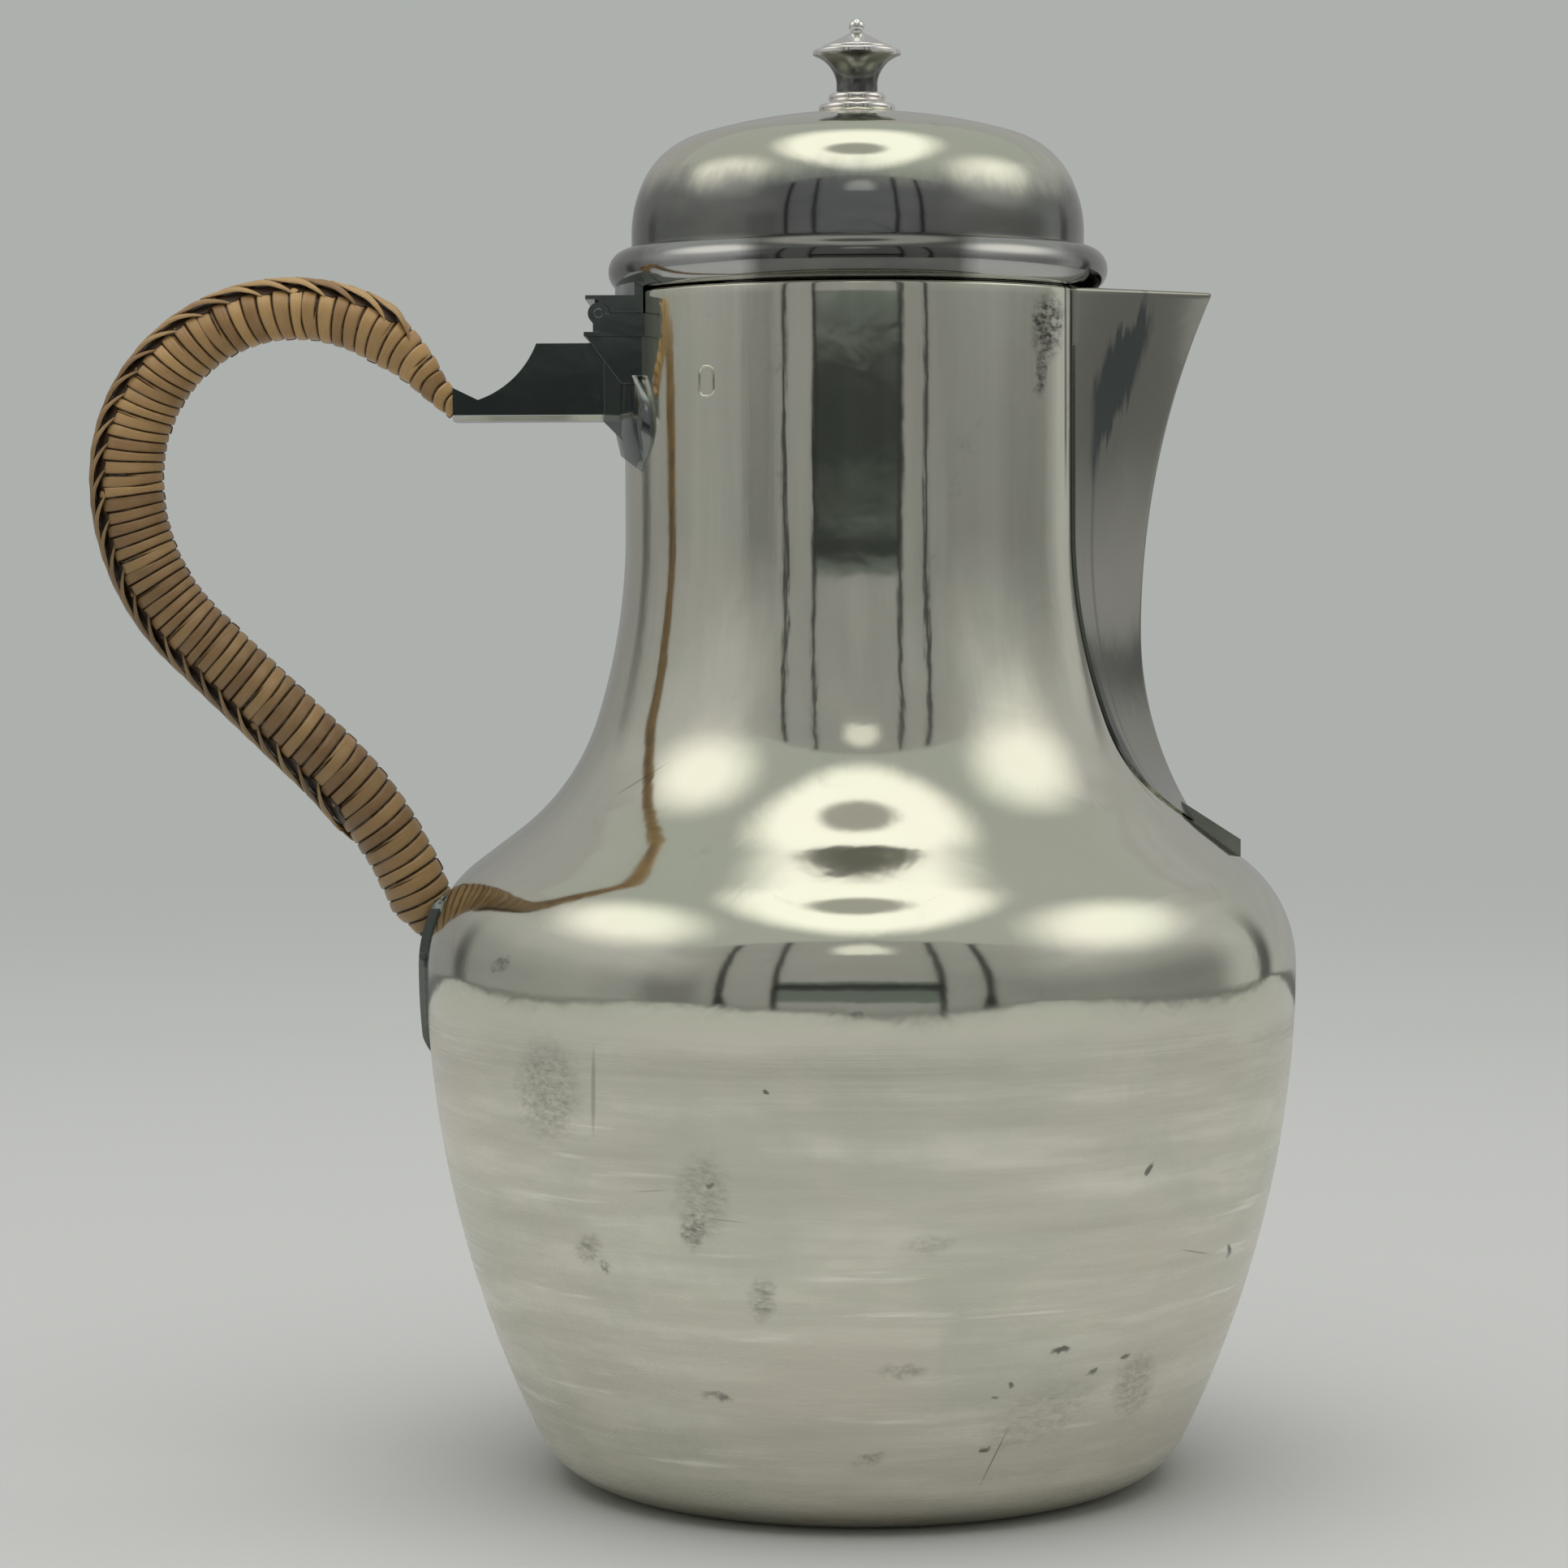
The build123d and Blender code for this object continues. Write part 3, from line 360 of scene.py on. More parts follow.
# Materials
class Shader:
    """The nodes of a material or world, made by short calls; a socket given as a value is linked."""

    def __init__(self, name, owner=None):
        self.owner = owner or bpy.data.materials.new(name)
        self.owner.use_nodes = True
        self.tree = self.owner.node_tree

    def add(self, kind, inputs=(), out=0, **settings):
        """New node, with its inputs by name or number, and one of its outputs."""
        node = self.tree.nodes.new("ShaderNode" + kind)
        for key, value in settings.items():
            setattr(node, key, value)
        for key, value in dict(inputs).items():
            self.put(node, key, value)
        return node.outputs[out]

    def put(self, node, key, value):
        """Sets or links one input. A tone is three numbers."""
        socket = node.inputs[key]
        if isinstance(value, bpy.types.NodeSocket):
            self.tree.links.new(value, socket)
        else:
            socket.default_value = (*value, 1.0) if socket.type == "RGBA" else value

    def principled(self, **values):
        """Values or sockets of the surface, with underscores for spaces."""
        surface = self.tree.nodes["Principled BSDF"]
        for key, value in values.items():
            self.put(surface, key.replace("_", " ").title().replace("Ior", "IOR"), value)
        return self.owner

    def math(self, operation, a, b=0.0, c=0.0):
        return self.add("Math", {0: a, 1: b, 2: c}, operation=operation)

    def times(self, product, *factors):
        for factor in factors:
            product = self.math("MULTIPLY", product, factor)
        return product

    def off(self, value, middle):
        """How far a value lies from the middle of something."""
        return self.math("ABSOLUTE", self.math("SUBTRACT", value, middle))

    def vector(self, operation, a, b=(0, 0, 0), c=(0, 0, 0), out=0):
        return self.add("VectorMath", {0: a, 1: b, 2: c}, out, operation=operation)

    def place(self):
        """Position on the object at rest, in metres."""
        return self.add("TexCoord", out=3)

    def split(self, vector):
        return [self.add("SeparateXYZ", {0: vector}, axis) for axis in range(3)]

    def scaled(self, vector, scale, shift=(0, 0, 0)):
        return self.add("Mapping", {0: vector, 1: shift, 3: scale})

    def noise(self, vector, scale, detail=4.0, roughness=0.6, distortion=0.0, shift=(0, 0, 0)):
        """Soft noise from 0 to 1. Three scales stretch it along the axes."""
        if isinstance(scale, tuple):
            vector, scale = self.scaled(vector, scale, shift), 1.0
        inputs = {"Scale": scale, "Detail": detail, "Roughness": roughness, "Distortion": distortion}
        return self.add("TexNoise", {"Vector": vector, **inputs})

    def range(self, value, start, end, low=0.0, high=1.0, smooth=False):
        """Value taken from one range to another, held at the ends."""
        kind = "SMOOTHSTEP" if smooth else "LINEAR"
        inputs = {0: value, 1: start, 2: end, 3: low, 4: high}
        return self.add("MapRange", inputs, interpolation_type=kind)

    def mix(self, share, a, b):
        """Colour between two colours."""
        return self.add("Mix", {0: share, 6: a, 7: b}, out=2, data_type="RGBA")

    def stops(self, value, *pairs):
        """Level between 0 and 1 from pairs of a place and the level there."""
        level = self.add("ValToRGB", {0: value})
        elements = level.node.color_ramp.elements
        for element, (place, tone) in zip(elements, (pairs[0], pairs[-1])):
            element.position = place
            element.color = (tone, tone, tone, 1.0)
        for place, tone in pairs[1:-1]:
            elements.new(place).color = (tone, tone, tone, 1.0)
        return level

    def spot(self, place, x, z, half_along, half_across, strength, turn=0.0):
        """Soft oval on the side towards the camera, in millimetres. turn is its slope in degrees."""
        local = self.vector("SUBTRACT", place, (x * MM, 0, z * MM))
        c, d = cos(radians(turn)), sin(radians(turn))
        shares = {}
        for i, half, axis in ((0, half_along, (c, 0, d)), (1, half_across, (-d, 0, c))):
            shares[i] = self.vector("DOT_PRODUCT", local, [value / (half * MM) for value in axis], out=1)
        reach = self.vector("LENGTH", self.add("CombineXYZ", shares), out=1)
        return self.range(reach, 0.4, 1.0, strength, 0.0, smooth=True)

    def strongest(self, masks):
        mask = masks[0]
        for other in masks[1:]:
            mask = self.math("MAXIMUM", mask, other)
        return mask

    def bump(self, height, strength, distance, normal=None):
        inputs = {"Strength": strength, "Distance": distance, "Height": height}
        if normal is not None:
            inputs["Normal"] = normal
        return self.add("Bump", inputs)


def shade(tone, red, green, blue):
    """A tone with its channels times three factors."""
    return (tone[0] * red, tone[1] * green, tone[2] * blue)


def silver(name, tone=(0.795, 0.80, 0.675), gloss=0.10, haze=0.05, tarnish=0.35, finish=None):
    """Hand-finished silver: soft mottling, fine rubbing marks and brown-grey tarnish in patches.

    finish may change the surface: it gets the shader, the place and the surface's parts.
    """
    s = Shader(name)
    place = s.place()
    clouds = s.noise(place, 38.0, 5.0, 0.6, 0.6)
    hue = s.noise(place, (60.0, 60.0, 85.0), 3.0, 0.55, shift=(3.0, 1.0, 0.0))
    specks = s.noise(place, 420.0, 4.0, 0.65)
    patches = s.noise(place, 90.0, 6.0, 0.65, 1.2)
    stain = s.times(s.range(patches, 0.62, 0.78), s.range(specks, 0.42, 0.62), tarnish)
    mottled = s.mix(s.range(clouds, 0.35, 0.7), tone, shade(tone, 0.9, 0.9, 0.9))
    warm, cool = shade(tone, 1.0, 0.95, 0.97), shade(tone, 0.93, 0.97, 0.93)
    colour = s.mix(0.5, mottled, s.mix(s.range(hue, 0.35, 0.65), warm, cool))
    colour = s.mix(stain, colour, (0.22, 0.19, 0.15))
    rough = s.math("MULTIPLY_ADD", clouds, haze, gloss - haze / 2)
    rough = s.math("MULTIPLY_ADD", stain, 0.25, rough)
    normal = s.bump(s.noise(place, 55.0, 2.0, 0.4), 0.3, 0.0004)
    normal = s.bump(s.noise(place, 190.0, 2.0, 0.5, 0.5), 0.22, 0.0001, normal)
    if finish:
        colour, rough, normal = finish(s, place, colour, rough, normal)
    return s.principled(metallic=1.0, base_color=colour, roughness=rough, normal=normal)


def worn_body(s, place, colour, rough, normal):
    """Satin below the shoulder, with streaks. Smudges, specks and scratches on the camera's side."""
    x, y, z = s.split(place)
    rubbing = s.noise(place, (26.0, 26.0, 2600.0))
    wide = s.noise(place, (26.0, 26.0, 230.0), shift=(0.0, 0.0, 2.0))
    drawn = s.noise(place, (150.0, 150.0, 9.0), 4.0, 0.6, 0.3)
    patch = s.noise(place, (36.0, 36.0, 44.0), 4.0, 0.6, 0.4, (0.4, 0.0, 0.7))
    bright = s.noise(place, (34.0, 34.0, 520.0), 3.0, 0.55, shift=(0.0, 0.0, 5.0))
    satin = s.range(z, 0.0605, 0.056, smooth=True)
    upper = s.range(z, 0.084, 0.105, smooth=True)
    brushed = s.math("MULTIPLY_ADD", s.range(rubbing, 0.3, 0.7), 0.10, 0.24)
    rough = s.add("Mix", {0: satin, 2: rough, 3: brushed})
    normal = s.bump(drawn, s.times(upper, 0.16), 0.0003, normal)
    normal = s.bump(rubbing, s.times(satin, 0.28), 0.00004, normal)
    tints = [  # where, by which value, from where to where it grows, its most, tone
        (upper, drawn, 0.5, 0.72, 0.35, (0.60, 0.60, 0.53)),
        (upper, drawn, 0.5, 0.3, 0.5, (0.93, 0.93, 0.80)),
        (1.0, z, 0.0635, 0.060, 0.8, (0.73, 0.70, 0.605)),
        (satin, wide, 0.5, 0.72, 0.5, (0.95, 0.92, 0.82)),
        (satin, wide, 0.56, 0.28, 0.5, (0.50, 0.48, 0.41)),
        (satin, patch, 0.5, 0.68, 0.6, (0.72, 0.655, 0.575)),
        (satin, patch, 0.5, 0.34, 0.6, (0.60, 0.615, 0.52)),
        (satin, bright, 0.64, 0.76, 0.75, (0.98, 0.96, 0.87)),
    ]
    for mask, value, start, end, most, tone in tints:
        colour = s.mix(s.times(s.range(value, start, end, 0.0, most), mask), colour, tone)
    torn = s.vector("SUBTRACT", s.noise(place, 700.0, 3.0, 0.5), (0.5, 0.5, 0.5))
    frayed = s.vector("MULTIPLY_ADD", torn, (0.0018, 0.0, 0.0018), place)
    front = s.range(y, 0.0, -0.005)
    grain = s.range(s.noise(place, (800.0, 800.0, 1700.0), 3.0, 0.7), 0.36, 0.66, 0.15, 1.3)
    marks = [
        (frayed, body_smudges, grain, (0.13, 0.125, 0.105)),
        (frayed, body_specks, 1.0, (0.10, 0.095, 0.08)),
        (place, body_scratches, 1.0, (0.18, 0.17, 0.15)),
    ]
    for where, spots, share, tone in marks:
        mask = s.strongest([s.spot(where, *spot) for spot in spots])
        colour = s.mix(s.times(mask, share, front), colour, tone)
    # Dark lines where the spout's edge is soldered to the neck
    side = s.math("ABSOLUTE", y)
    joint = s.range(s.off(side, 0.0135), 0.0001, 0.0004, 1.0, 0.0)
    lap = s.range(s.off(side, 0.0148), 0.00008, 0.00035, 0.85, 0.0)
    lap = s.times(lap, s.range(z, 0.119, 0.127))
    line = s.times(s.math("MAXIMUM", joint, lap), s.range(z, 0.082, 0.09), s.range(x, 0.0, 0.01))
    return s.mix(line, colour, (0.10, 0.10, 0.08)), rough, normal


def lid_film_and_painted_glint(s, place, colour, rough, normal):
    """A dull dark film round the lid's bead and lower side, with a ragged upper edge, lighter near X = 0. On
    the bead it is painted highlight: lighter where the side lamps reflect, darker nearer X = 0 and further out.
    """
    x, _, z = s.split(place)
    side = s.math("ABSOLUTE", x)
    ragged = s.noise(place, (90.0, 90.0, 40.0), 5.0, 0.65)
    level = s.math("MULTIPLY_ADD", ragged, 0.006, s.math("SUBTRACT", z, 0.003))
    film = s.range(level, 0.155, 0.1595, 1.0, 0.0, smooth=True)
    uneven = s.range(s.noise(place, (30.0, 30.0, 70.0)), 0.3, 0.65, 0.8, 1.0)
    dark = s.mix(s.range(side, 0.004, 0.014), (0.25, 0.26, 0.26), (0.16, 0.168, 0.16))
    # Painted highlight: the bead is lighter in a band on each side where the side lamps reflect, and darker
    # elsewhere.
    along = s.range(s.math("MULTIPLY_ADD", ragged, 0.004, side), 0.002, 0.032)
    bead = s.stops(along, (0.0, 0.115), (0.38, 0.115), (0.46, 0.48), (0.77, 0.45), (0.86, 0.19), (1.0, 0.19))
    dark = s.mix(s.range(z, 0.1505, 0.1495), dark, bead)
    return s.mix(s.times(film, uneven), colour, dark), rough, normal


def spout_wedge_and_joint_shade(s, place, colour, rough, normal):
    """Oxidised sides with a dark brushed wedge that narrows downwards, frayed along its height, and painted
    shade along the joint with the neck, wider lower down.
    """
    _, y, z = s.split(place)
    side = s.math("ABSOLUTE", y)
    strokes = s.noise(place, (900.0, 900.0, 45.0), 5.0, 0.7)
    level = s.math("ADD", z, s.times(s.math("SUBTRACT", strokes, 0.5), 0.013))
    middle = s.range(level, 0.1245, 0.141, 0.0103, 0.0067)
    rise = s.range(level, 0.1205, 0.1435)
    half = s.times(s.stops(rise, (0.0, 0.0), (0.25, 0.35), (0.5, 1.0), (0.8, 0.75), (1.0, 0.0)), 0.0024)
    wedge = s.range(s.math("SUBTRACT", s.off(side, middle), half), -0.0004, 0.0004, 0.88, 0.0)
    colour = s.mix(wedge, colour, (0.11, 0.135, 0.13))
    # Painted shade: a dark strip along the spout's joint with the neck, wider further down.
    low = s.range(z, 0.108, 0.09)
    reach = s.math("MULTIPLY_ADD", low, -0.0016, 0.0131)
    joint_shade = s.range(s.math("SUBTRACT", side, reach), -0.0005, 0.0003)
    joint_shade = s.times(joint_shade, low, s.range(strokes, 0.25, 0.5, 0.6, 0.9))
    colour = s.mix(joint_shade, colour, (0.10, 0.11, 0.10))
    return colour, s.math("MULTIPLY_ADD", wedge, 0.12, rough), normal


def worn_knob(s, place, colour, rough, normal):
    """A dark film in the hollow of the cup, under the knob's rim."""
    _, _, z = s.split(place)
    ragged = s.noise(place, 700.0)
    level = s.math("MULTIPLY_ADD", ragged, 0.0006, z)
    film = s.range(level, (cup_height + 0.1) * MM, (cup_height + 0.35) * MM, 0.95, 0.0)
    dark = s.mix(s.range(ragged, 0.4, 0.65), (0.10, 0.105, 0.098), (0.22, 0.225, 0.20))
    dark = s.mix(s.range(z, (cup_height - 1.2) * MM, cup_height * MM), dark, (0.27, 0.27, 0.215))
    return s.mix(film, colour, dark), s.math("MULTIPLY_ADD", film, 0.12, rough), normal


def bright_web_edge_finish(s, place, colour, rough, normal):
    """Brighter metal along the lower edge of the bracket's web."""
    x, _, z = s.split(place)
    bottom = (rim_height - web_drop) * MM
    edge = s.range(z, bottom + web_edge * MM, bottom + (web_edge + 0.08) * MM, 1.0, 0.0)
    edge = s.times(edge, s.range(z, bottom - 0.1 * MM, bottom), s.range(x, -0.0313, -0.0308, 1.0, 0.0))
    return s.mix(edge, colour, (0.72, 0.74, 0.73)), rough, normal


def cane(name, light, dark, seam_share=0.07):
    """Split cane, with painted light: lighter high on the handle and darker low down towards its foot, as if
    lit from above.

    Its first coordinate counts the turns or stitches, and the second runs along the strip.
    """
    s = Shader(name)
    place = s.place()
    u, v, _ = s.split(s.add("UVMap", uv_map="along"))
    number = s.math("FLOOR", u)
    share = s.math("FRACT", u)
    own = s.add("TexWhiteNoise", {"W": number}, noise_dimensions="1D")
    edge = s.math("MINIMUM", share, s.math("SUBTRACT", 1.0, share))
    seam = s.range(edge, seam_share * 0.35, seam_share * 1.8)
    strip = s.add("CombineXYZ", {0: s.times(u, 14.0), 1: s.times(v, 3.0), 2: s.times(number, 7.3)})
    fibres = s.noise(strip, 1.6, 5.0, 0.6)
    tone = s.math("MULTIPLY_ADD", own, 0.5, s.times(fibres, 0.55))
    tone = s.math("MULTIPLY_ADD", s.noise(place, 260.0, 3.0, 0.6), 0.35, tone)
    colour = s.mix(s.range(tone, 0.3, 1.0), dark, light)
    colour = s.mix(seam, (0.035, 0.018, 0.008), colour)
    # Painted light: the cane's colour is scaled up high on the handle and down low, as if lit from above.
    painted_top_light = s.range(s.split(place)[2], 0.108, 0.136, 0.70, 1.15, smooth=True)
    colour = s.add("VectorMath", {0: colour, "Scale": painted_top_light}, operation="SCALE")
    rough = s.range(fibres, 0.3, 0.7, 0.34, 0.5)
    gloss = {"specular_ior_level": 0.5, "coat_weight": 0.25, "coat_roughness": 0.3}
    return s.principled(base_color=colour, roughness=rough, normal=s.bump(fibres, 0.35, 0.00012), **gloss)


def steel(name):
    s = Shader(name)
    wear = s.noise(s.place(), 600.0)
    colour = s.mix(wear, (0.42, 0.42, 0.41), (0.62, 0.62, 0.6))
    return s.principled(metallic=1.0, base_color=colour, roughness=s.range(wear, 0.3, 0.7, 0.25, 0.42))


body_silver = silver("body_silver", gloss=0.085, haze=0.03, finish=worn_body)
lid_silver = silver("lid_silver", gloss=0.09, tarnish=0.6, finish=lid_film_and_painted_glint)
spout_silver = silver("spout_silver", (0.42, 0.425, 0.37), 0.15, tarnish=0.5, finish=spout_wedge_and_joint_shade)
fitting_silver = silver("fitting_silver", (0.24, 0.262, 0.25), 0.12, tarnish=0.6, finish=bright_web_edge_finish)
# Painted shade: the foot plate's very dark tone stands for the shadow between the cane's end and the body.
shaded_foot_silver = silver("shaded_foot_silver", (0.17, 0.185, 0.175), 0.14, tarnish=0.6)
finial_silver = silver("finial_silver", (0.92, 0.91, 0.86), 0.07, tarnish=0.3)
knob_silver = silver("knob_silver", (0.94, 0.94, 0.90), 0.09, tarnish=0.2, finish=worn_knob)
plain_steel = steel("plain_steel")
wrap_cane = cane("wrap_cane", (0.52, 0.32, 0.125), (0.21, 0.108, 0.038))
plait_cane = cane("plait_cane", (0.50, 0.32, 0.13), (0.19, 0.10, 0.038), seam_share=0.03)
# Near black: the dark gaps under the plait together with painted shadow.
gap_and_shadow_cane = cane("gap_and_shadow_cane", (0.05, 0.028, 0.014), (0.02, 0.011, 0.006))

# Centres and joint angles of the vessel's outline, whose arcs are tangent to each other
side_centre = (belly_radius - upper_side_radius, belly_height)
low_centre = polar(side_centre, upper_side_radius - lower_side_radius, -upper_side_turn)
corner_offset = lower_side_radius - corner_radius
corner_x = low_centre[0] + sqrt(corner_offset**2 - (low_centre[1] - corner_radius) ** 2)
corner_centre = (corner_x, corner_radius)
corner_turn = degrees(asin((low_centre[1] - corner_radius) / corner_offset))
shoulder_centre = (belly_radius - shoulder_radius, belly_height)
flare_offset = neck_flare_radius - neck_sweep_radius
sweep_x = neck_radius + neck_flare_radius - flare_offset * cos(radians(neck_flare_turn))
sweep_span = hypot(shoulder_slope, shoulder_radius + neck_sweep_radius)
sweep_rise = sqrt(sweep_span**2 - (sweep_x - shoulder_centre[0]) ** 2)
sweep_centre = (sweep_x, belly_height + sweep_rise)
slope_angle = degrees(
    atan2(sweep_rise, sweep_x - shoulder_centre[0]) - atan2(shoulder_slope, shoulder_radius + neck_sweep_radius)
)
flare_centre = polar(sweep_centre, flare_offset, neck_flare_turn)
neck_height = flare_centre[1]


vessel_arcs = [  # centre, radius (negative where hollow), first and last angle, step
    (corner_centre, corner_radius, -90, -corner_turn, 4),
    (low_centre, lower_side_radius, -corner_turn, -upper_side_turn, 0.4),
    (side_centre, upper_side_radius, -upper_side_turn, 0, 0.5),
    (shoulder_centre, shoulder_radius, 0, slope_angle, 2.5),
    (sweep_centre, -neck_sweep_radius, slope_angle + 180, neck_flare_turn + 180, 2),
    (flare_centre, -neck_flare_radius, neck_flare_turn + 180, 180, 0.8),
]


def vessel_profile(inset, top):
    """The vessel's outline from the axis to a height on the neck, moved inwards by inset."""
    points = run((0, inset), (corner_x, inset), 3.0)
    for centre, radius, first, last, step in vessel_arcs:
        next_arc = arc(centre, abs(radius - inset), first, last, step)
        points = joined(points, run(points[-1], next_arc[0]), next_arc)
    return joined(points, run((neck_radius - inset, neck_height), (neck_radius - inset, top)))


def vessel_radius(z):
    """Outer radius of the vessel at a height above its corner."""
    below = (0, 0)
    for centre, radius, first, last, _ in vessel_arcs[1:]:
        start, end = (polar(centre, abs(radius), angle) for angle in (first, last))
        if below[1] <= z < start[1] and radius < 0:
            return below[0] + (z - below[1]) / (start[1] - below[1]) * (start[0] - below[0])
        if z < end[1]:
            return centre[0] + copysign(sqrt(radius**2 - (z - centre[1]) ** 2), radius)
        below = end
    return neck_radius


def cut(obj, cutter):
    """Takes the cutter's space out of the piece."""
    trim = obj.modifiers.new("cut", "BOOLEAN")
    trim.operation = "DIFFERENCE"
    trim.solver = "EXACT"
    trim.object = cutter
    graph = bpy.context.evaluated_depsgraph_get()
    mesh = bpy.data.meshes.new_from_object(obj.evaluated_get(graph))
    obj.modifiers.clear()
    obj.data = mesh
    mesh.set_sharp_from_angle(angle=radians(35))
    bpy.data.objects.remove(cutter)


def window_cutter():
    """The V that is cut from the neck behind the spout."""
    half = spout_half_width - spout_wall
    side = window_bottom_height + window_rise * half / spout_half_width
    top = rim_height + 1
    outline = [(0, window_bottom_height), (half, side), (half, top), (-half, top), (-half, side)]
    points = [Vector((x, y, z)) * MM for x in (neck_radius / 3, neck_radius * 2) for y, z in outline]
    faces = [(i, (i + 1) % 5, 5 + (i + 1) % 5, 5 + i) for i in range(5)]
    return placed("cutter", mesh_of("cutter", points, [tuple(range(5)), tuple(range(5, 10)), *faces]))


def vessel():
    """The raised vessel, with its window cut behind the spout."""
    outer = vessel_profile(0, rim_height - rim_outer_rounding)
    inner = vessel_profile(wall, rim_height - rim_rounding)
    outer_centre = (neck_radius - rim_outer_rounding, rim_height - rim_outer_rounding)
    inner_centre = (neck_radius - wall + rim_rounding, rim_height - rim_rounding)
    rim = arc(outer_centre, rim_outer_rounding, 0, 90, 15) + arc(inner_centre, rim_rounding, 90, 180, 30)
    profile = joined(outer, rim, inner[::-1])
    obj = turned("vessel_skin", profile, vessel_columns, "jug", body_silver, "vessel_body")
    bpy.context.view_layer.update()
    cut(obj, window_cutter())


def punch_border():
    """Raised edge of a small bare punch mark on the neck."""
    turn, height = radians(punch_place[0]), punch_place[1]
    corner = punch_half_width * 0.8
    rows = []
    for side, end, start in ((1, 1, 0), (-1, 1, 90), (-1, -1, 180), (1, -1, 270)):
        centre = (side * (punch_half_width - corner), end * (punch_half_height - corner))
        for way in range(start, start + 91, 15):
            u, v = polar(centre, corner, way)
            row = []
            for angle in range(0, 360, 30):
                across = punch_edge * cos(radians(angle))
                reach = neck_radius + punch_edge * (sin(radians(angle)) - 0.35)
                at = turn + (u + across * cos(radians(way))) / neck_radius
                row.append((reach * cos(at), reach * sin(at), height + v + across * sin(radians(way))))
            rows.append(row)
    mesh = grid("punch_border", rows, around=True, closed=True, sharp=60)
    piece("punch_border", mesh, "jug", "silver", body_silver)


# Spout
waist_x = vessel_radius(keel_waist_height) + keel_waist_gap
keel_rise = rim_height - keel_waist_height
keel_spread = neck_radius + spout_reach - waist_x
keel_top_radius = (keel_rise**2 + keel_spread**2) / (2 * keel_spread)
keel_drop = keel_waist_height - spout_bottom_height
keel_foot_spread = vessel_radius(spout_bottom_height) + keel_foot_gap - waist_x
keel_bottom_radius = (keel_drop**2 + keel_foot_spread**2) / (2 * keel_foot_spread)


def keel_x(z):
    """Distance of the spout's keel from the axis at a height."""
    radius = keel_top_radius if z > keel_waist_height else keel_bottom_radius
    return waist_x + radius - sqrt(radius**2 - (z - keel_waist_height) ** 2)


def spout_width(z):
    """Half the width of the spout where it meets the neck."""
    share = max(1 - (z - spout_bottom_height) / spout_round_bottom, 0)
    return spout_half_width * sqrt(1 - share**2)


def spout_row(z, inset):
    """Points across the folded sheet at a height, from its edge inside the neck to the other one."""
    half = spout_width(z)
    joint = (sqrt(vessel_radius(z) ** 2 - half**2) + spout_edge, half)
    centre = keel_x(z) - spout_fold_radius
    reach = (joint[0] - centre, joint[1])
    facing = atan2(reach[1], reach[0]) - acos(spout_fold_radius / hypot(*reach))
    fold = spout_fold_radius - inset
    touch = (centre + fold * cos(facing), fold * sin(facing))
    edge_y = max(half - inset, touch[1] + 0.01)
    slope = -sin(facing) / cos(facing)
    points = [(centre + fold * cos(facing * i / 6), fold * sin(facing * i / 6), z) for i in range(6)]
    for i in range(25):
        y = touch[1] + (edge_y - touch[1]) * i / 24
        points.append((touch[0] + (y - touch[1]) * slope, y, z))
    points.append((sqrt(vessel_radius(z) ** 2 - edge_y**2) - spout_sink, edge_y, z))
    return [(x, -y, h) for x, y, h in points[:0:-1]] + points


def spout():
    """The folded sheet, open at its top and towards the neck."""
    round_top = spout_bottom_height + spout_round_bottom
    start = spout_bottom_height + spout_lowest
    heights = [round_top - (round_top - start) * cos(radians(turn)) for turn in range(0, 90, 6)]
    heights += [round_top + (rim_height - round_top) * i / 60 for i in range(61)]
    inner_start = spout_bottom_height + 2 * spout_wall
    inner_heights = [max(z, inner_start + 0.2 * i) for i, z in enumerate(heights)]
    inner_heights = [min(z, rim_height) for z in inner_heights]
    outer = [spout_row(z, 0) for z in heights if z < rim_height - spout_rim_rounding]
    for turn in range(0, 91, 15):
        inset = spout_rim_rounding * (1 - cos(radians(turn)))
        outer.append(spout_row(rim_height - spout_rim_rounding * (1 - sin(radians(turn))), inset))
    inner = [spout_row(z, spout_wall) for z in inner_heights]
    last = len(outer[0]) - 1
    rows = outer + inner[::-1]
    columns = [[row[j] for row in rows] for j in range(last + 1)]
    mesh = grid("spout_skin", columns, around=True, closed=True, sharp=40)
    piece("spout_skin", mesh, "jug", "silver", spout_silver, "spout_sheet")


# Lid and finial
def dome_profile(inset):
    """The dome from its edge to the axis, moved inwards by inset."""
    return joined(
        run((dome_radius - inset, dome_height), (dome_radius - inset, dome_side_height), 0.5),
        arc(dome_side_centre, dome_side_radius - inset, 0, dome_side_turn, 1.5),
        arc(dome_corner_centre, dome_corner_radius - inset, dome_side_turn, crown_angle, 2.0),
        arc(crown_centre, crown_radius - inset, crown_angle, 90, 0.5),
    )


def lid():
    """The dome and the round moulding at its edge."""
    dome = joined(dome_profile(0), dome_profile(lid_wall)[::-1])
    turned("dome_skin", dome, lid_columns, "lid", lid_silver, "lid_dome")
    inside = neck_radius - wall - bezel_clearance - bezel_wall
    cut_angle = degrees(acos((inside - moulding_centre_radius) / moulding_radius))
    bead = arc((moulding_centre_radius, moulding_height), moulding_radius, -cut_angle, cut_angle, 5)
    turned("bead_skin", bead, lid_columns, "lid", lid_silver, "lid_moulding")


def bulge(radius, bottom, top):
    """Side of one of the collar's rings."""
    return through((radius, bottom), (radius + collar_bulge, (bottom + top) / 2), (radius, top), 8)


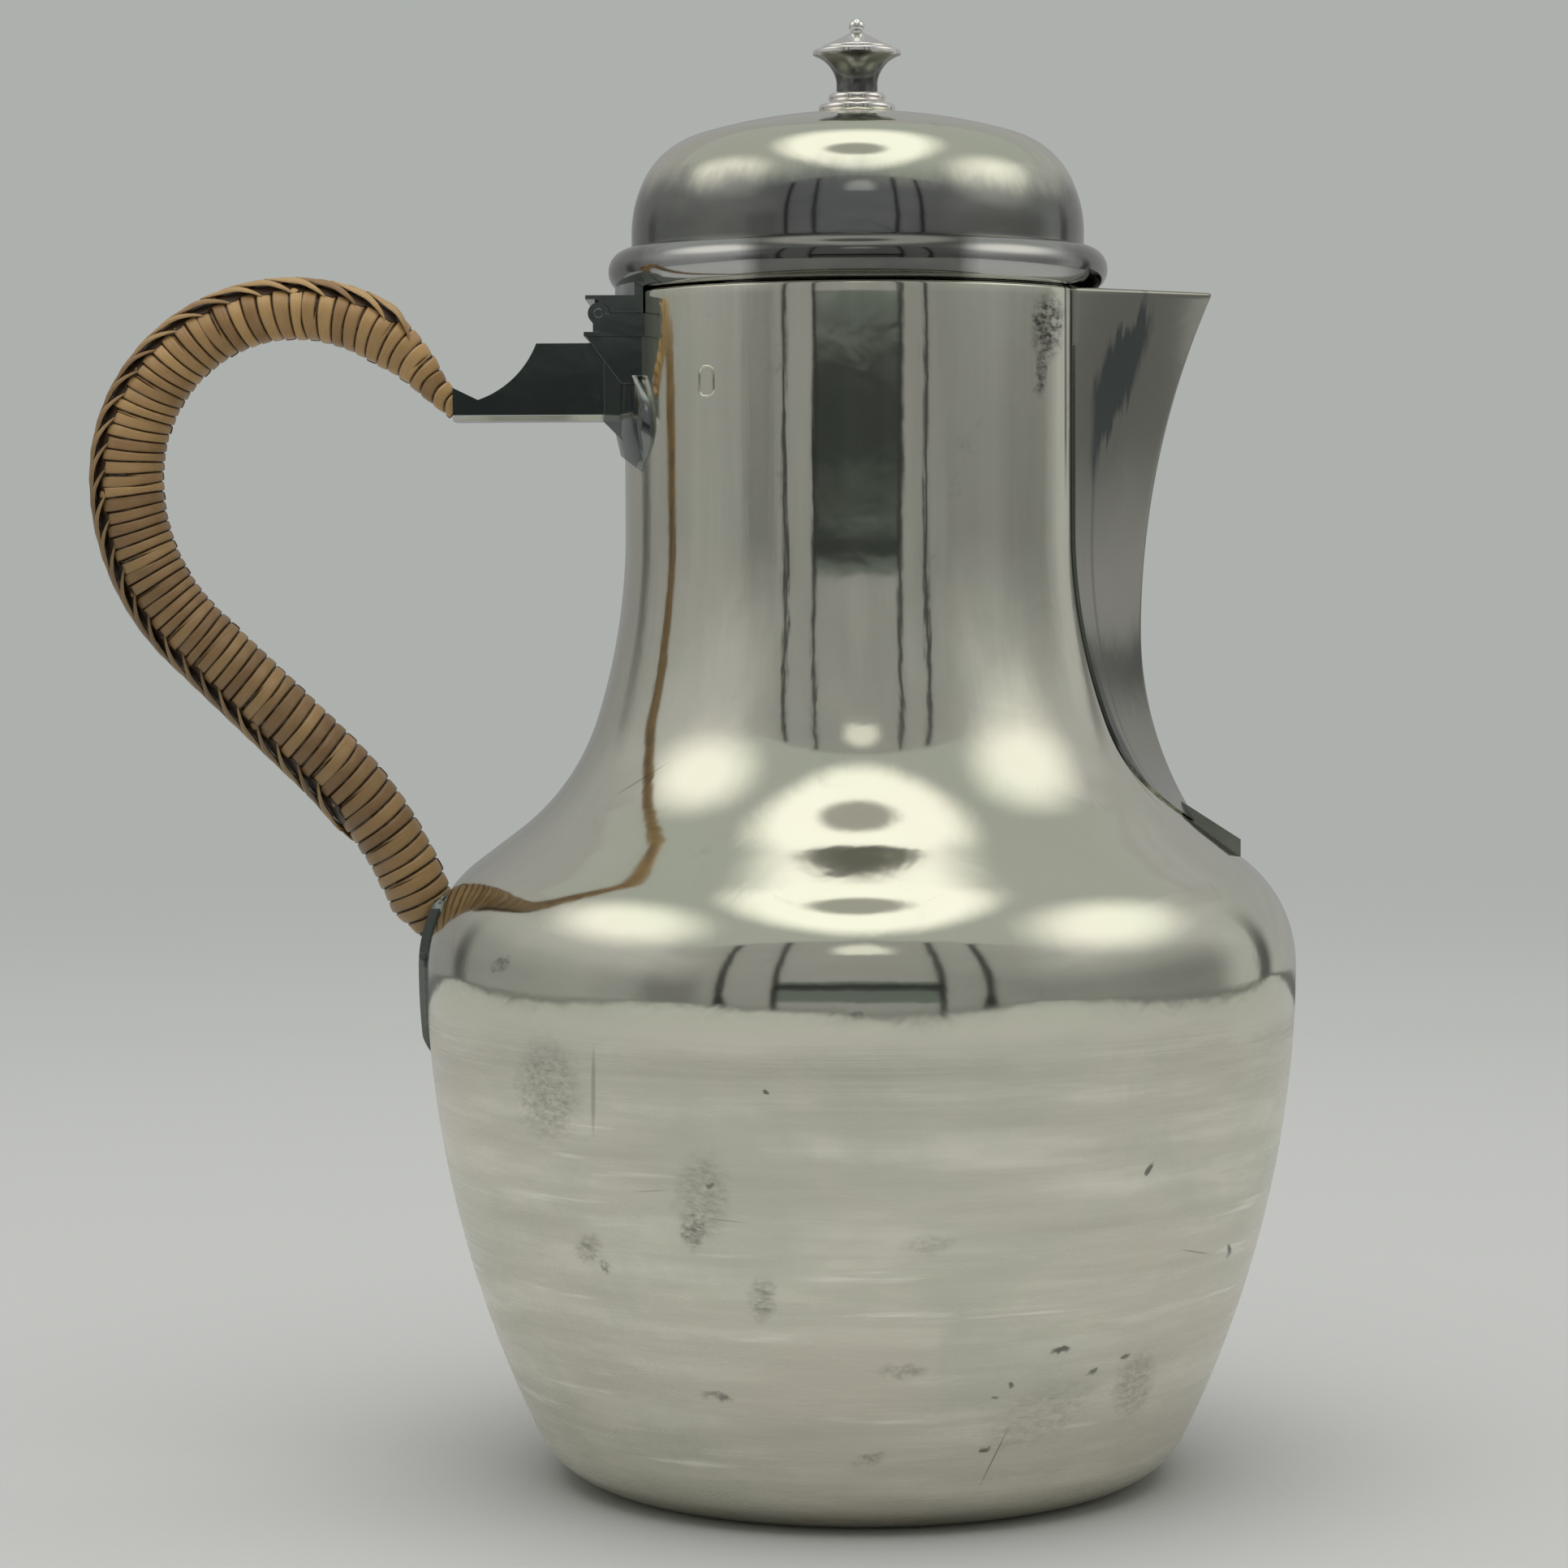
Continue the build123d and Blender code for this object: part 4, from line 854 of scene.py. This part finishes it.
def finial():
    """The collar of stacked rings and the turned knob."""
    band_top = lid_top + collar_band
    collar = joined(
        [(0, lid_top - collar_seat), (collar_radius, lid_top - collar_seat)],
        bulge(collar_radius, lid_top, band_top),
        [(collar_ring_radius, band_top + collar_step)],
        bulge(collar_ring_radius, collar_top - collar_band, collar_top),
        [(0, collar_top)],
    )
    turned("collar_skin", collar, finial_columns, "lid", finial_silver, "finial_collar")
    waist_end = (knob_waist_radius, collar_top + knob_waist_height)
    cup_end = (knob_cup_radius, cup_height)
    cup_middle = (knob_cup_middle[0], waist_end[1] + knob_cup_middle[1])
    cap_start = polar((knob_cap_radius, cap_foot_height), knob_cap_bead, 80)
    cap_end = polar((0, tip_height), knob_tip_radius, knob_tip_neck_angle)
    knob = joined(
        [(0, collar_top), (knob_waist_radius, collar_top)],
        through(waist_end, cup_middle, cup_end, 16),
        arc((knob_cup_radius - knob_rim_bead, cup_height + knob_rim_bead), knob_rim_bead, 0, 110, 12),
        [(knob_groove_radius, cup_height + knob_rim_height)],
        arc((knob_cap_radius, cap_foot_height), knob_cap_bead, -60, 80, 12),
        through(cap_start, (knob_cap_middle_radius, cap_foot_height + knob_cap_height / 2), cap_end, 16),
        arc((0, tip_height), knob_tip_radius, knob_tip_neck_angle, 90, 8),
    )
    turned("knob_skin", knob, finial_columns, "lid", knob_silver, "finial_knob")


# Handle
def handle_legs():
    """Legs of the handle's centre line: start, heading in degrees, length and signed curvature."""
    point = (-neck_radius - web_reach - handle_seat, rim_height - web_drop + handle_start_rise)
    heading = handle_start_heading
    legs = []
    for radius, target in handle_turns:
        if radius is None:
            leg = (point, heading, target, 0)
            target = heading
        else:
            length = radius * radians(abs(target - heading))
            leg = (point, heading, length, copysign(1, target - heading) / radius)
        legs.append(leg)
        point = leg_point(leg, leg[2])[:2]
        heading = target
    return legs


def leg_point(leg, distance):
    """Point and heading at a distance along one leg."""
    (x, z), heading, _, curvature = leg
    if curvature == 0:
        return x + distance * cos(radians(heading)), z + distance * sin(radians(heading)), heading
    end = heading + degrees(distance * curvature)
    x += (sin(radians(end)) - sin(radians(heading))) / curvature
    z += (cos(radians(heading)) - cos(radians(end))) / curvature
    return x, z, end


legs = handle_legs()


def handle_point(s):
    """Point and heading on the centre line at a distance from the bracket."""
    for leg in legs[:-1]:
        if s <= leg[2]:
            return leg_point(leg, s)
        s -= leg[2]
    return leg_point(legs[-1], s)


def find_landing():
    """Distance along the centre line where it meets the plate on the body."""
    s = sum(leg[2] for leg in legs[:3])
    while -handle_point(s)[0] > vessel_radius(handle_point(s)[1]) + foot_thickness:
        s += 0.05
    return s


landing = find_landing()
grip_length = landing + handle_overrun


def turns_until():
    """Number of the strip's turns from the handle's start to each step along it: wound tighter midway."""
    first, full, fades, last = cane_tight
    counts = [0.0]
    step = 0.25
    for i in range(ceil((grip_length + cane_lead) / step)):
        s = -cane_lead + step * (i + 0.5)
        tight = ramp(s, first, full) * (1 - ramp(s, fades, last))
        counts.append(counts[-1] + step / (cane_strip + (cane_tight_strip - cane_strip) * tight))
    return step, counts


turn_step, turn_counts = turns_until()


def strip_count(s):
    """Turns of the strip from the handle's start to a distance."""
    place = (s + cane_lead) / turn_step
    i = min(max(int(place), 0), len(turn_counts) - 2)
    return turn_counts[i] + (place - i) * (turn_counts[i + 1] - turn_counts[i])


def strip_place(count):
    """Distance at which the strip has made a number of turns."""
    low, high = -cane_lead, grip_length
    for _ in range(30):
        middle = (low + high) / 2
        if strip_count(middle) < count:
            low = middle
        else:
            high = middle
    return low


wrap_turns = int(strip_count(grip_length))


def grip_radius(s):
    """Radius over the cane at a distance from the bracket."""
    top = legs[0][2] + legs[1][2] / 3
    side = legs[0][2] + legs[1][2]
    foot = grip_length - grip_foot_taper
    changes = [
        (grip_top_radius - grip_end_radius, -cane_lead, grip_end_taper),
        (grip_side_radius - grip_top_radius, top, side),
        (grip_foot_radius - grip_side_radius, grip_length - grip_foot_blend, foot),
        (grip_tip_radius - grip_foot_radius, foot, grip_length),
    ]
    return grip_end_radius + sum(change * ramp(s, start, end) for change, start, end in changes)


def on_handle(s, turn, radius):
    """Point round the handle. turn is in radians, 0 on its outer side and growing towards +Y."""
    x, z, heading = handle_point(s)
    out = Vector((sin(radians(heading)), 0, -cos(radians(heading))))
    across = Vector((0, 1, 0))
    return Vector((x, 0, z)) + (out * cos(turn) + across * sin(turn)) * radius


def kept_outside(point):
    """A point that would lie inside the vessel is moved into its wall."""
    reach = hypot(point.x, point.y)
    least = vessel_radius(point.z) - wall / 2
    if reach >= least:
        return point
    return Vector((point.x * least / reach, point.y * least / reach, point.z))


def wobble(number, seed):
    """Small uneven value from -1 to 1 that belongs to a strip or stitch."""
    return sin(number * 12.9898 + seed * 78.233) * cos(number * 4.1414 + seed * 37.719)


def cane_wrap():
    """The cane strip wound round the rod, one groove for each turn."""
    columns = 60
    parts = 12
    rows = []
    uvs = []
    for i in range(wrap_turns * parts + 1):
        s = strip_place(i / parts)
        row = []
        for j in range(columns + 1):
            turn = -pi + 2 * pi * j / columns
            lean = 0.10 * cos(2 * turn) + 0.16 * wobble(int(i / parts), 1) * sin(turn)
            count = strip_count(s) - turn / (2 * pi) + lean
            number = int(count + 2) - 2
            share = count - number
            edge = min(share, 1 - share)
            dip = cane_groove * max(0, 1 - edge / 0.13) ** 1.4 + 0.07 * (2 * share - 1) ** 2
            stands = 0.07 * wobble(number, 2) + 0.12 * (share - 0.5)
            row.append(kept_outside(on_handle(s, turn, grip_radius(s) - dip + stands)))
            uvs.append((count + 2, turn / (2 * pi)))
        rows.append(row)
    mesh = grid("cane_skin", rows, sharp=60, uvs=uvs)
    piece("cane_skin", mesh, "jug", "cane", wrap_cane, "cane_wrap")


def plait_bed():
    """The strands under the plait, near black for dark gaps and painted shadow, whose edge steps in and out
    from turn to turn.
    """
    rows = []
    uvs = []
    end = landing - plait_end_gap
    count = round((end - plait_start) * 3)
    for i in range(count + 1):
        s = plait_start + (end - plait_start) * i / count
        step = int(strip_count(s)) % 2
        half = radians(plait_half_angle + (4.0 if step else -3.0))
        fade = ramp(s, plait_start, plait_start + 3) * (1 - ramp(s, end - 5, end - 1))
        half *= 0.3 + 0.7 * fade
        shape = [(-half, -0.35), (-half * 0.96, 0.08), (-half * 0.5, 0.2), (0, 0.28)]
        shape += [(-turn, lift) for turn, lift in shape[2::-1]]
        sunk = grip_radius(s) - 0.8 * (1 - fade)
        rows.append([on_handle(s, turn, sunk + lift * fade) for turn, lift in shape])
        uvs += [(s, turn) for turn, _ in shape]
    mesh = grid("plait_bed", rows, around=True, sharp=60, uvs=uvs)
    piece("plait_bed", mesh, "jug", "cane_plait", gap_and_shadow_cane)


def stitch(number, side, start, points, faces, uvs):
    """One slanting strand of the plait, from the side up to the handle's back."""
    steps = 16
    last = landing - plait_end_gap
    across = [(-1, 0.0), (-0.85, 0.16), (-0.4, 0.26), (0.4, 0.26)]
    across += [(0.85, 0.16), (1, 0.0), (0.5, -0.2), (-0.5, -0.2)]
    first = len(points)
    length = plait_stitch * (1 + 0.06 * wobble(number, side))
    for k in range(steps + 1):
        t = k / steps
        s = start + length * t
        turn = side * radians(plait_half_angle + 1 - (plait_half_angle - 1) * t**0.8)
        fade = 1 - ramp(s, last - 5, last + 1)
        lift = (-0.15 + 0.75 * sin(pi * min(t * 1.1, 0.72)) + 0.2 * t) * fade - 0.45 * (1 - fade)
        half = plait_strand * (0.5 + 0.5 * min(1, 3.2 * t)) * (1 - 0.55 * max(0, (t - 0.78) / 0.22) ** 1.5)
        slant = radians(30) * side
        for width, crown in across:
            along = -half * width * sin(slant)
            round_by = half * width * cos(slant) / grip_radius(s)
            points.append(on_handle(s + along, turn + round_by, grip_radius(s) + lift + crown) * MM)
            uvs.append((number + 0.5 + 0.45 * width, t))
    n = len(across)
    for k in range(steps):
        for j in range(n):
            a, b = first + k * n + j, first + k * n + (j + 1) % n
            faces.append((a, b, b + n, a + n))
    faces.append(tuple(first + j for j in range(n)))
    faces.append(tuple(first + steps * n + j for j in range(n)))


def plait():
    """Two rows of slanting strands that meet along the handle's back."""
    last = strip_count(landing - plait_end_gap) - plait_stitch / cane_strip
    points = []
    faces = []
    uvs = []
    number = 0
    count = strip_count(plait_start)
    while count < last:
        for side in (-1, 1):
            stitch(number, side, strip_place(count + (side + 1) / 2), points, faces, uvs)
            number += 1
        count += 2
    mesh = mesh_of("plait_skin", points, faces, 60, uvs)
    piece("plait_skin", mesh, "jug", "cane_plait", plait_cane, "cane_plait")


def dress(material, *names):
    """CAD pieces that keep their shape, with their edges softened."""
    for name in names:
        obj = nodes_of_frame[name]
        obj.data.materials.clear()
        obj.data.materials.append(material)
        obj.modifiers.new("weld", "WELD").merge_threshold = 1e-6
        bevel = obj.modifiers.new("bevel", "BEVEL")
        bevel.width = 0.12 * MM
        bevel.segments = 2
        bevel.limit_method = "ANGLE"
        bevel.angle_limit = radians(35)
        bevel.harden_normals = True


cane_wrap()
plait_bed()
plait()
vessel()
punch_border()
spout()
lid()
finial()
dress(fitting_silver, "handle_bracket", "neck_plate", "hinge_body_leaf", "hinge_lid_leaf", "hinge_pin")
dress(spout_silver, "spout_heel")
dress(shaded_foot_silver, "lower_foot")
dress(lid_silver, "handle_rod", "lid_bezel")
dress(plain_steel, "finial_stud", "finial_washer", "finial_nut")


# Studio
def camera():
    lens = bpy.data.cameras.new("camera")
    lens.lens = camera_lens
    lens.sensor_width = camera_sensor
    lens.clip_start = 0.01
    lens.clip_end = 20
    obj = placed("camera", lens)
    tilt = Matrix.Rotation(radians(90 - camera_pitch_down), 4, "X")
    roll = Matrix.Rotation(-radians(camera_roll), 4, "Z")
    obj.matrix_world = Matrix.Translation(Vector(camera_place) * MM) @ tilt @ roll
    bpy.context.scene.camera = obj


def oblong(name, half_x, half_y):
    """Flat mesh round its own middle."""
    corners = [(-half_x, -half_y), (half_x, -half_y), (half_x, half_y), (-half_x, half_y)]
    return flat(name, [(x, y, 0) for x, y in corners])


def flat(name, points, faces=None):
    """Mesh of plain faces, or of one face through all its points."""
    mesh = bpy.data.meshes.new(name)
    mesh.from_pydata(points, [], faces or [tuple(range(len(points)))])
    return mesh


def floor():
    """A pale floor that fades into the background with distance."""
    s = Shader("floor")
    place = s.place()
    colour = s.mix(s.noise(place, 900.0, 3.0, 0.5), (0.615, 0.615, 0.60), (0.645, 0.645, 0.63))
    fade = s.range(s.vector("LENGTH", place, out=1), 0.25, 1.1, 1.0, 0.0, smooth=True)
    surface = {"base_color": colour, "roughness": 0.75, "specular_ior_level": 0.15, "alpha": fade}
    obj = placed("floor", oblong("floor", 3.0, 3.0))
    obj.data.materials.append(s.principled(**surface))


def world():
    """Pale grey all round for the camera and the silver, and a low even light on the rest."""
    s = Shader("studio", bpy.data.worlds.new("studio"))
    names = ("Is Camera Ray", "Is Glossy Ray", "Is Transmission Ray")
    shown = s.strongest([s.add("LightPath", out=name) for name in names])
    back = s.tree.nodes["Background"]
    s.put(back, "Color", (0.96, 1.0, 0.96))
    s.put(back, "Strength", s.range(shown, 0.0, 1.0, ambient, backdrop))
    bpy.context.scene.world = s.owner


def direction(azimuth, elevation):
    """Way from the object towards the studio. Azimuth 0 is the camera's side, and grows towards +X."""
    a, e = radians(azimuth), radians(elevation)
    return Vector((sin(a) * cos(e), -cos(a) * cos(e), sin(e)))


def stage_piece(name, mesh, material):
    """Part of the light tent, seen only in the silver."""
    obj = placed(name, mesh)
    mesh.materials.append(material)
    obj.visible_camera = False
    obj.visible_shadow = False
    obj.visible_diffuse = False
    return obj


def glowing(shader, colour, strength, alpha=1.0):
    """Finish of something that only gives light."""
    values = {"base_color": (0.0, 0.0, 0.0), "roughness": 1.0, "specular_ior_level": 0.0, "alpha": alpha}
    return shader.principled(emission_color=colour, emission_strength=strength, **values)


def soft_box(name, place, aim, width, height, brightness, blur):
    """Round softbox that fades towards its edge. A brightness of 1 shows as white."""
    s = Shader(name)
    local = s.scaled(s.place(), (2 / width, 2 / height, 1.0))
    fade = s.range(s.vector("LENGTH", local, out=1), 1 - blur, 1.0, 1.0, 0.0, smooth=True)
    mesh = oblong(name, width / 2, height / 2)
    obj = stage_piece(name, mesh, glowing(s, lamp_tone, brightness, fade))
    obj.location = place
    obj.rotation_euler = (place - aim).to_track_quat("Z", "Y").to_euler()


def card(name, outline, y, tone):
    """Flat dark card of the tent, across the view."""
    s = Shader(name)
    weave = s.noise(s.place(), (8.0, 8.0, 160.0))
    colour = s.mix(weave, shade(tone, 0.75, 0.75, 0.75), shade(tone, 1.25, 1.25, 1.25))
    stage_piece(name, flat(name, [(x, y, z) for x, z in outline]), glowing(s, colour, 1.0))


def tent_walls(front):
    """The tent's cloth walls: their tone by azimuth, lighter towards the top."""
    sides = [(-tent_half_width, front), (tent_half_width, front)]
    sides += [(tent_half_width, tent_back), (-tent_half_width, tent_back)]
    points = [(x, y, z) for z in (0.0, tent_height) for x, y in sides]
    faces = [(i, (i + 1) % 4, 4 + (i + 1) % 4, 4 + i) for i in range(4)]
    s = Shader("tent_walls")
    place = s.place()
    x, y, z = s.split(place)
    azimuth = s.times(s.math("ARCTAN2", x, s.times(y, -1.0)), 180 / pi)
    share = s.range(azimuth, -180, 180)
    low, high = (
        s.stops(share, *[((angle + 180) / 360, tone) for angle, tone in tones])
        for tones in (wall_tones, wall_tones_above)
    )
    colour = s.mix(s.range(z, 0.10, 0.40, smooth=True), low, high)
    colour = s.mix(s.range(z, 0.006, 0.012), (0.14, 0.145, 0.14), colour)
    cloth = s.noise(place, (3.0, 3.0, 9.0))
    walls = flat("tent_walls", points, faces)
    stage_piece("tent_walls", walls, glowing(s, colour, s.range(cloth, 0.3, 0.7, 0.94, 1.06)))


def tent():
    """The light tent round the jug: lamps above and at both sides, a slotted front curtain."""
    crown, hole = Vector((0, -0.125, 0.59)), Vector((-0.006, -0.125, 0.58))
    left, right = (heart + direction(*way) * side_lamp_distance for way in ((-80, 42), (80, 38)))
    soft_box("top_lamp", crown, Vector((0, crown.y, 0)), 0.525, 0.725, 1.22, 0.4)
    soft_box("camera_hole", hole, Vector((hole.x, hole.y, 0)), 0.2, 0.2, 0.40, 0.4)
    soft_box("left_lamp", left, heart, 0.56, 0.36, 1.15, 0.8)
    soft_box("right_lamp", right, heart, 0.58, 0.42, 1.15, 0.8)
    soft_box("front_glow", Vector((0.0, -0.515, 0.455)), heart, 0.2, 0.17, 0.85, 0.6)
    tent_walls(curtain - 0.004)
    for name, azimuth, low, high in curtain_seams:
        x = -curtain * tan(radians(azimuth))
        outline = [(x - low, 0.0), (x + low, 0.0), (x + high, seam_bend), (x + high, curtain_top)]
        outline += [(x - high, curtain_top), (x - high, seam_bend)]
        card("seam_" + name, outline, curtain, seam_tone)
    left, right = slot_sides
    for name, low, high, tone in slot_cards:
        outline = [(left, low), (right, low), (right, high), (left, high)]
        card("camera_slot_" + name, outline, curtain - 0.002, (tone * 0.87, tone, tone * 0.95))
    fill = bpy.data.lights.new("fill", "AREA")
    fill.shape = "DISK"
    fill.size = 2.6
    fill.energy = 33.0
    obj = placed("fill", fill)
    obj.location = (0.0, -0.36, 2.0)
    obj.rotation_euler = (obj.location - heart).to_track_quat("Z", "Y").to_euler()
    obj.visible_camera = False
    obj.visible_glossy = False


camera()
floor()
world()
tent()
bpy.context.scene.view_settings.view_transform = "Standard"
